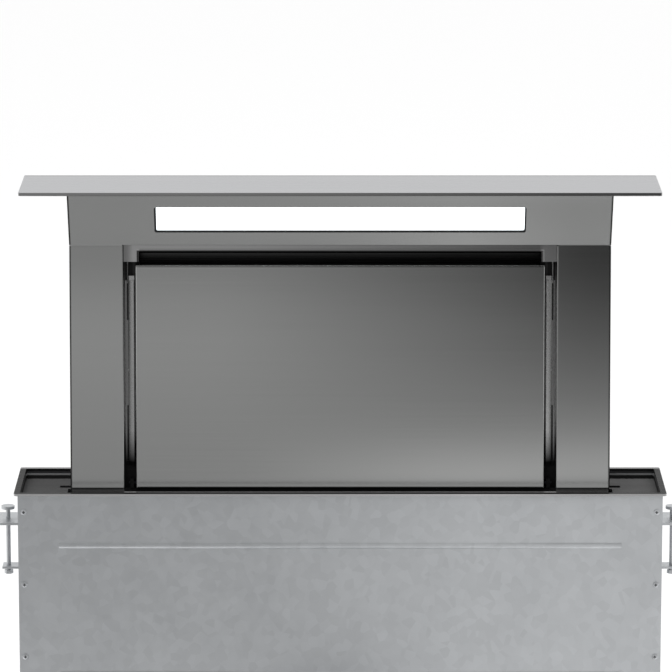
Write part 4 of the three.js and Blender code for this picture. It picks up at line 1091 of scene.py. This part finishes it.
def studio_glow(tree, x, y):
    """Even on the left, dark high on the right and bright low on the right."""
    left_stops = ((0.1, 0.42), (0.35, 0.45), (0.65, 0.50), (0.78, 0.47), (0.93, 0.37))
    right_stops = (
        (0.12, 0.70),
        (0.20, 0.62),
        (0.27, 0.42),
        (0.34, 0.335),
        (0.49, 0.235),
        (0.65, 0.155),
        (0.81, 0.096),
        (0.92, 0.048),
    )
    left = graded(tree, y, -STUDIO_HALF, STUDIO_HALF, left_stops)
    right = graded(tree, y, -STUDIO_HALF, STUDIO_HALF, right_stops)
    high = mix(tree, ramp(tree, x, 0, 1, *HIGH_TURN), left, right)
    low = mix(tree, ramp(tree, x, 0, 1, *LOW_TURN), left, right)
    return mix(tree, ramp(tree, y, 0, 1, *LOW_TO_HIGH), low, high)


def worktop_glow(tree, x, y):
    """Brightest right of the middle. The head mirrors the strip along the frame, the foot of the
    tower the rest."""
    foot_stops = (
        (0.16, 0.43),
        (0.34, 0.46),
        (0.50, 0.58),
        (0.66, 0.70),
        (0.77, 0.74),
        (0.86, 0.71),
        (0.93, 0.67),
    )
    high_stops = ((0.1, 0.44), (0.5, 0.48), (0.73, 0.51), (0.92, 0.43))
    low_stops = ((0.1, 0.455), (0.5, 0.51), (0.73, 0.68), (0.92, 0.52))
    foot = graded(tree, x, -WORKTOP_HALF, WORKTOP_HALF, foot_stops)
    high = graded(tree, x, -WORKTOP_HALF, WORKTOP_HALF, high_stops)
    low = graded(tree, x, -WORKTOP_HALF, WORKTOP_HALF, low_stops)
    head = mix(tree, ramp(tree, y, 0, 1, *WITHIN_HEAD), high, low)
    return mix(tree, ramp(tree, y, 0, 1, *FOOT_TO_HEAD), foot, head)


def recess_glow(tree, x, _):
    """A little brighter towards the right."""
    return graded(tree, x, -RECESS_HALF, RECESS_HALF, ((0.0, 0.36), (0.5, 0.45), (1.0, 0.48)))


def make_light():
    make_world()
    glowing_card("studio_card", (3.0, 1.5), (0, -0.75, 0.12), (90, 0, 0), studio_glow)
    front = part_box("top_frame")[0][1]
    depth = 0.45
    place = (0, front - depth / 2 - 5 * MM, -4 * MM)
    glowing_card("worktop_card", (2.4, depth), place, (0, 0, 0), worktop_glow)
    frame_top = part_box("top_frame")[1][2]
    height = frame_top - TRAY_FLOOR - MM
    place = (0, front + FRAME_BORDER + 1.5 * MM, TRAY_FLOOR + height / 2 + MM / 2)
    glowing_card("recess_card", (0.86, height), place, (90, 0, 0), recess_glow)
    area("key", (-1.6, -2.4, 3.2), (0, 0, 0), (2.4, 2.4), 60)
    area("fill", (2.6, -1.0, 2.4), (0, 0, 0), (1.6, 2.4), 20)


# ------------------------------------------------------------------ making
make_camera()
SCENE.view_settings.view_transform = "Standard"
floor()
make_light()
MATERIALS = make_materials()
dress_nodes(MATERIALS)
soften(smoothing_group())
housing_details(MATERIALS)
blower_details(MATERIALS)
control_details(MATERIALS)
tray_lip(MATERIALS)
waist_seams(MATERIALS)
tower_details(MATERIALS)
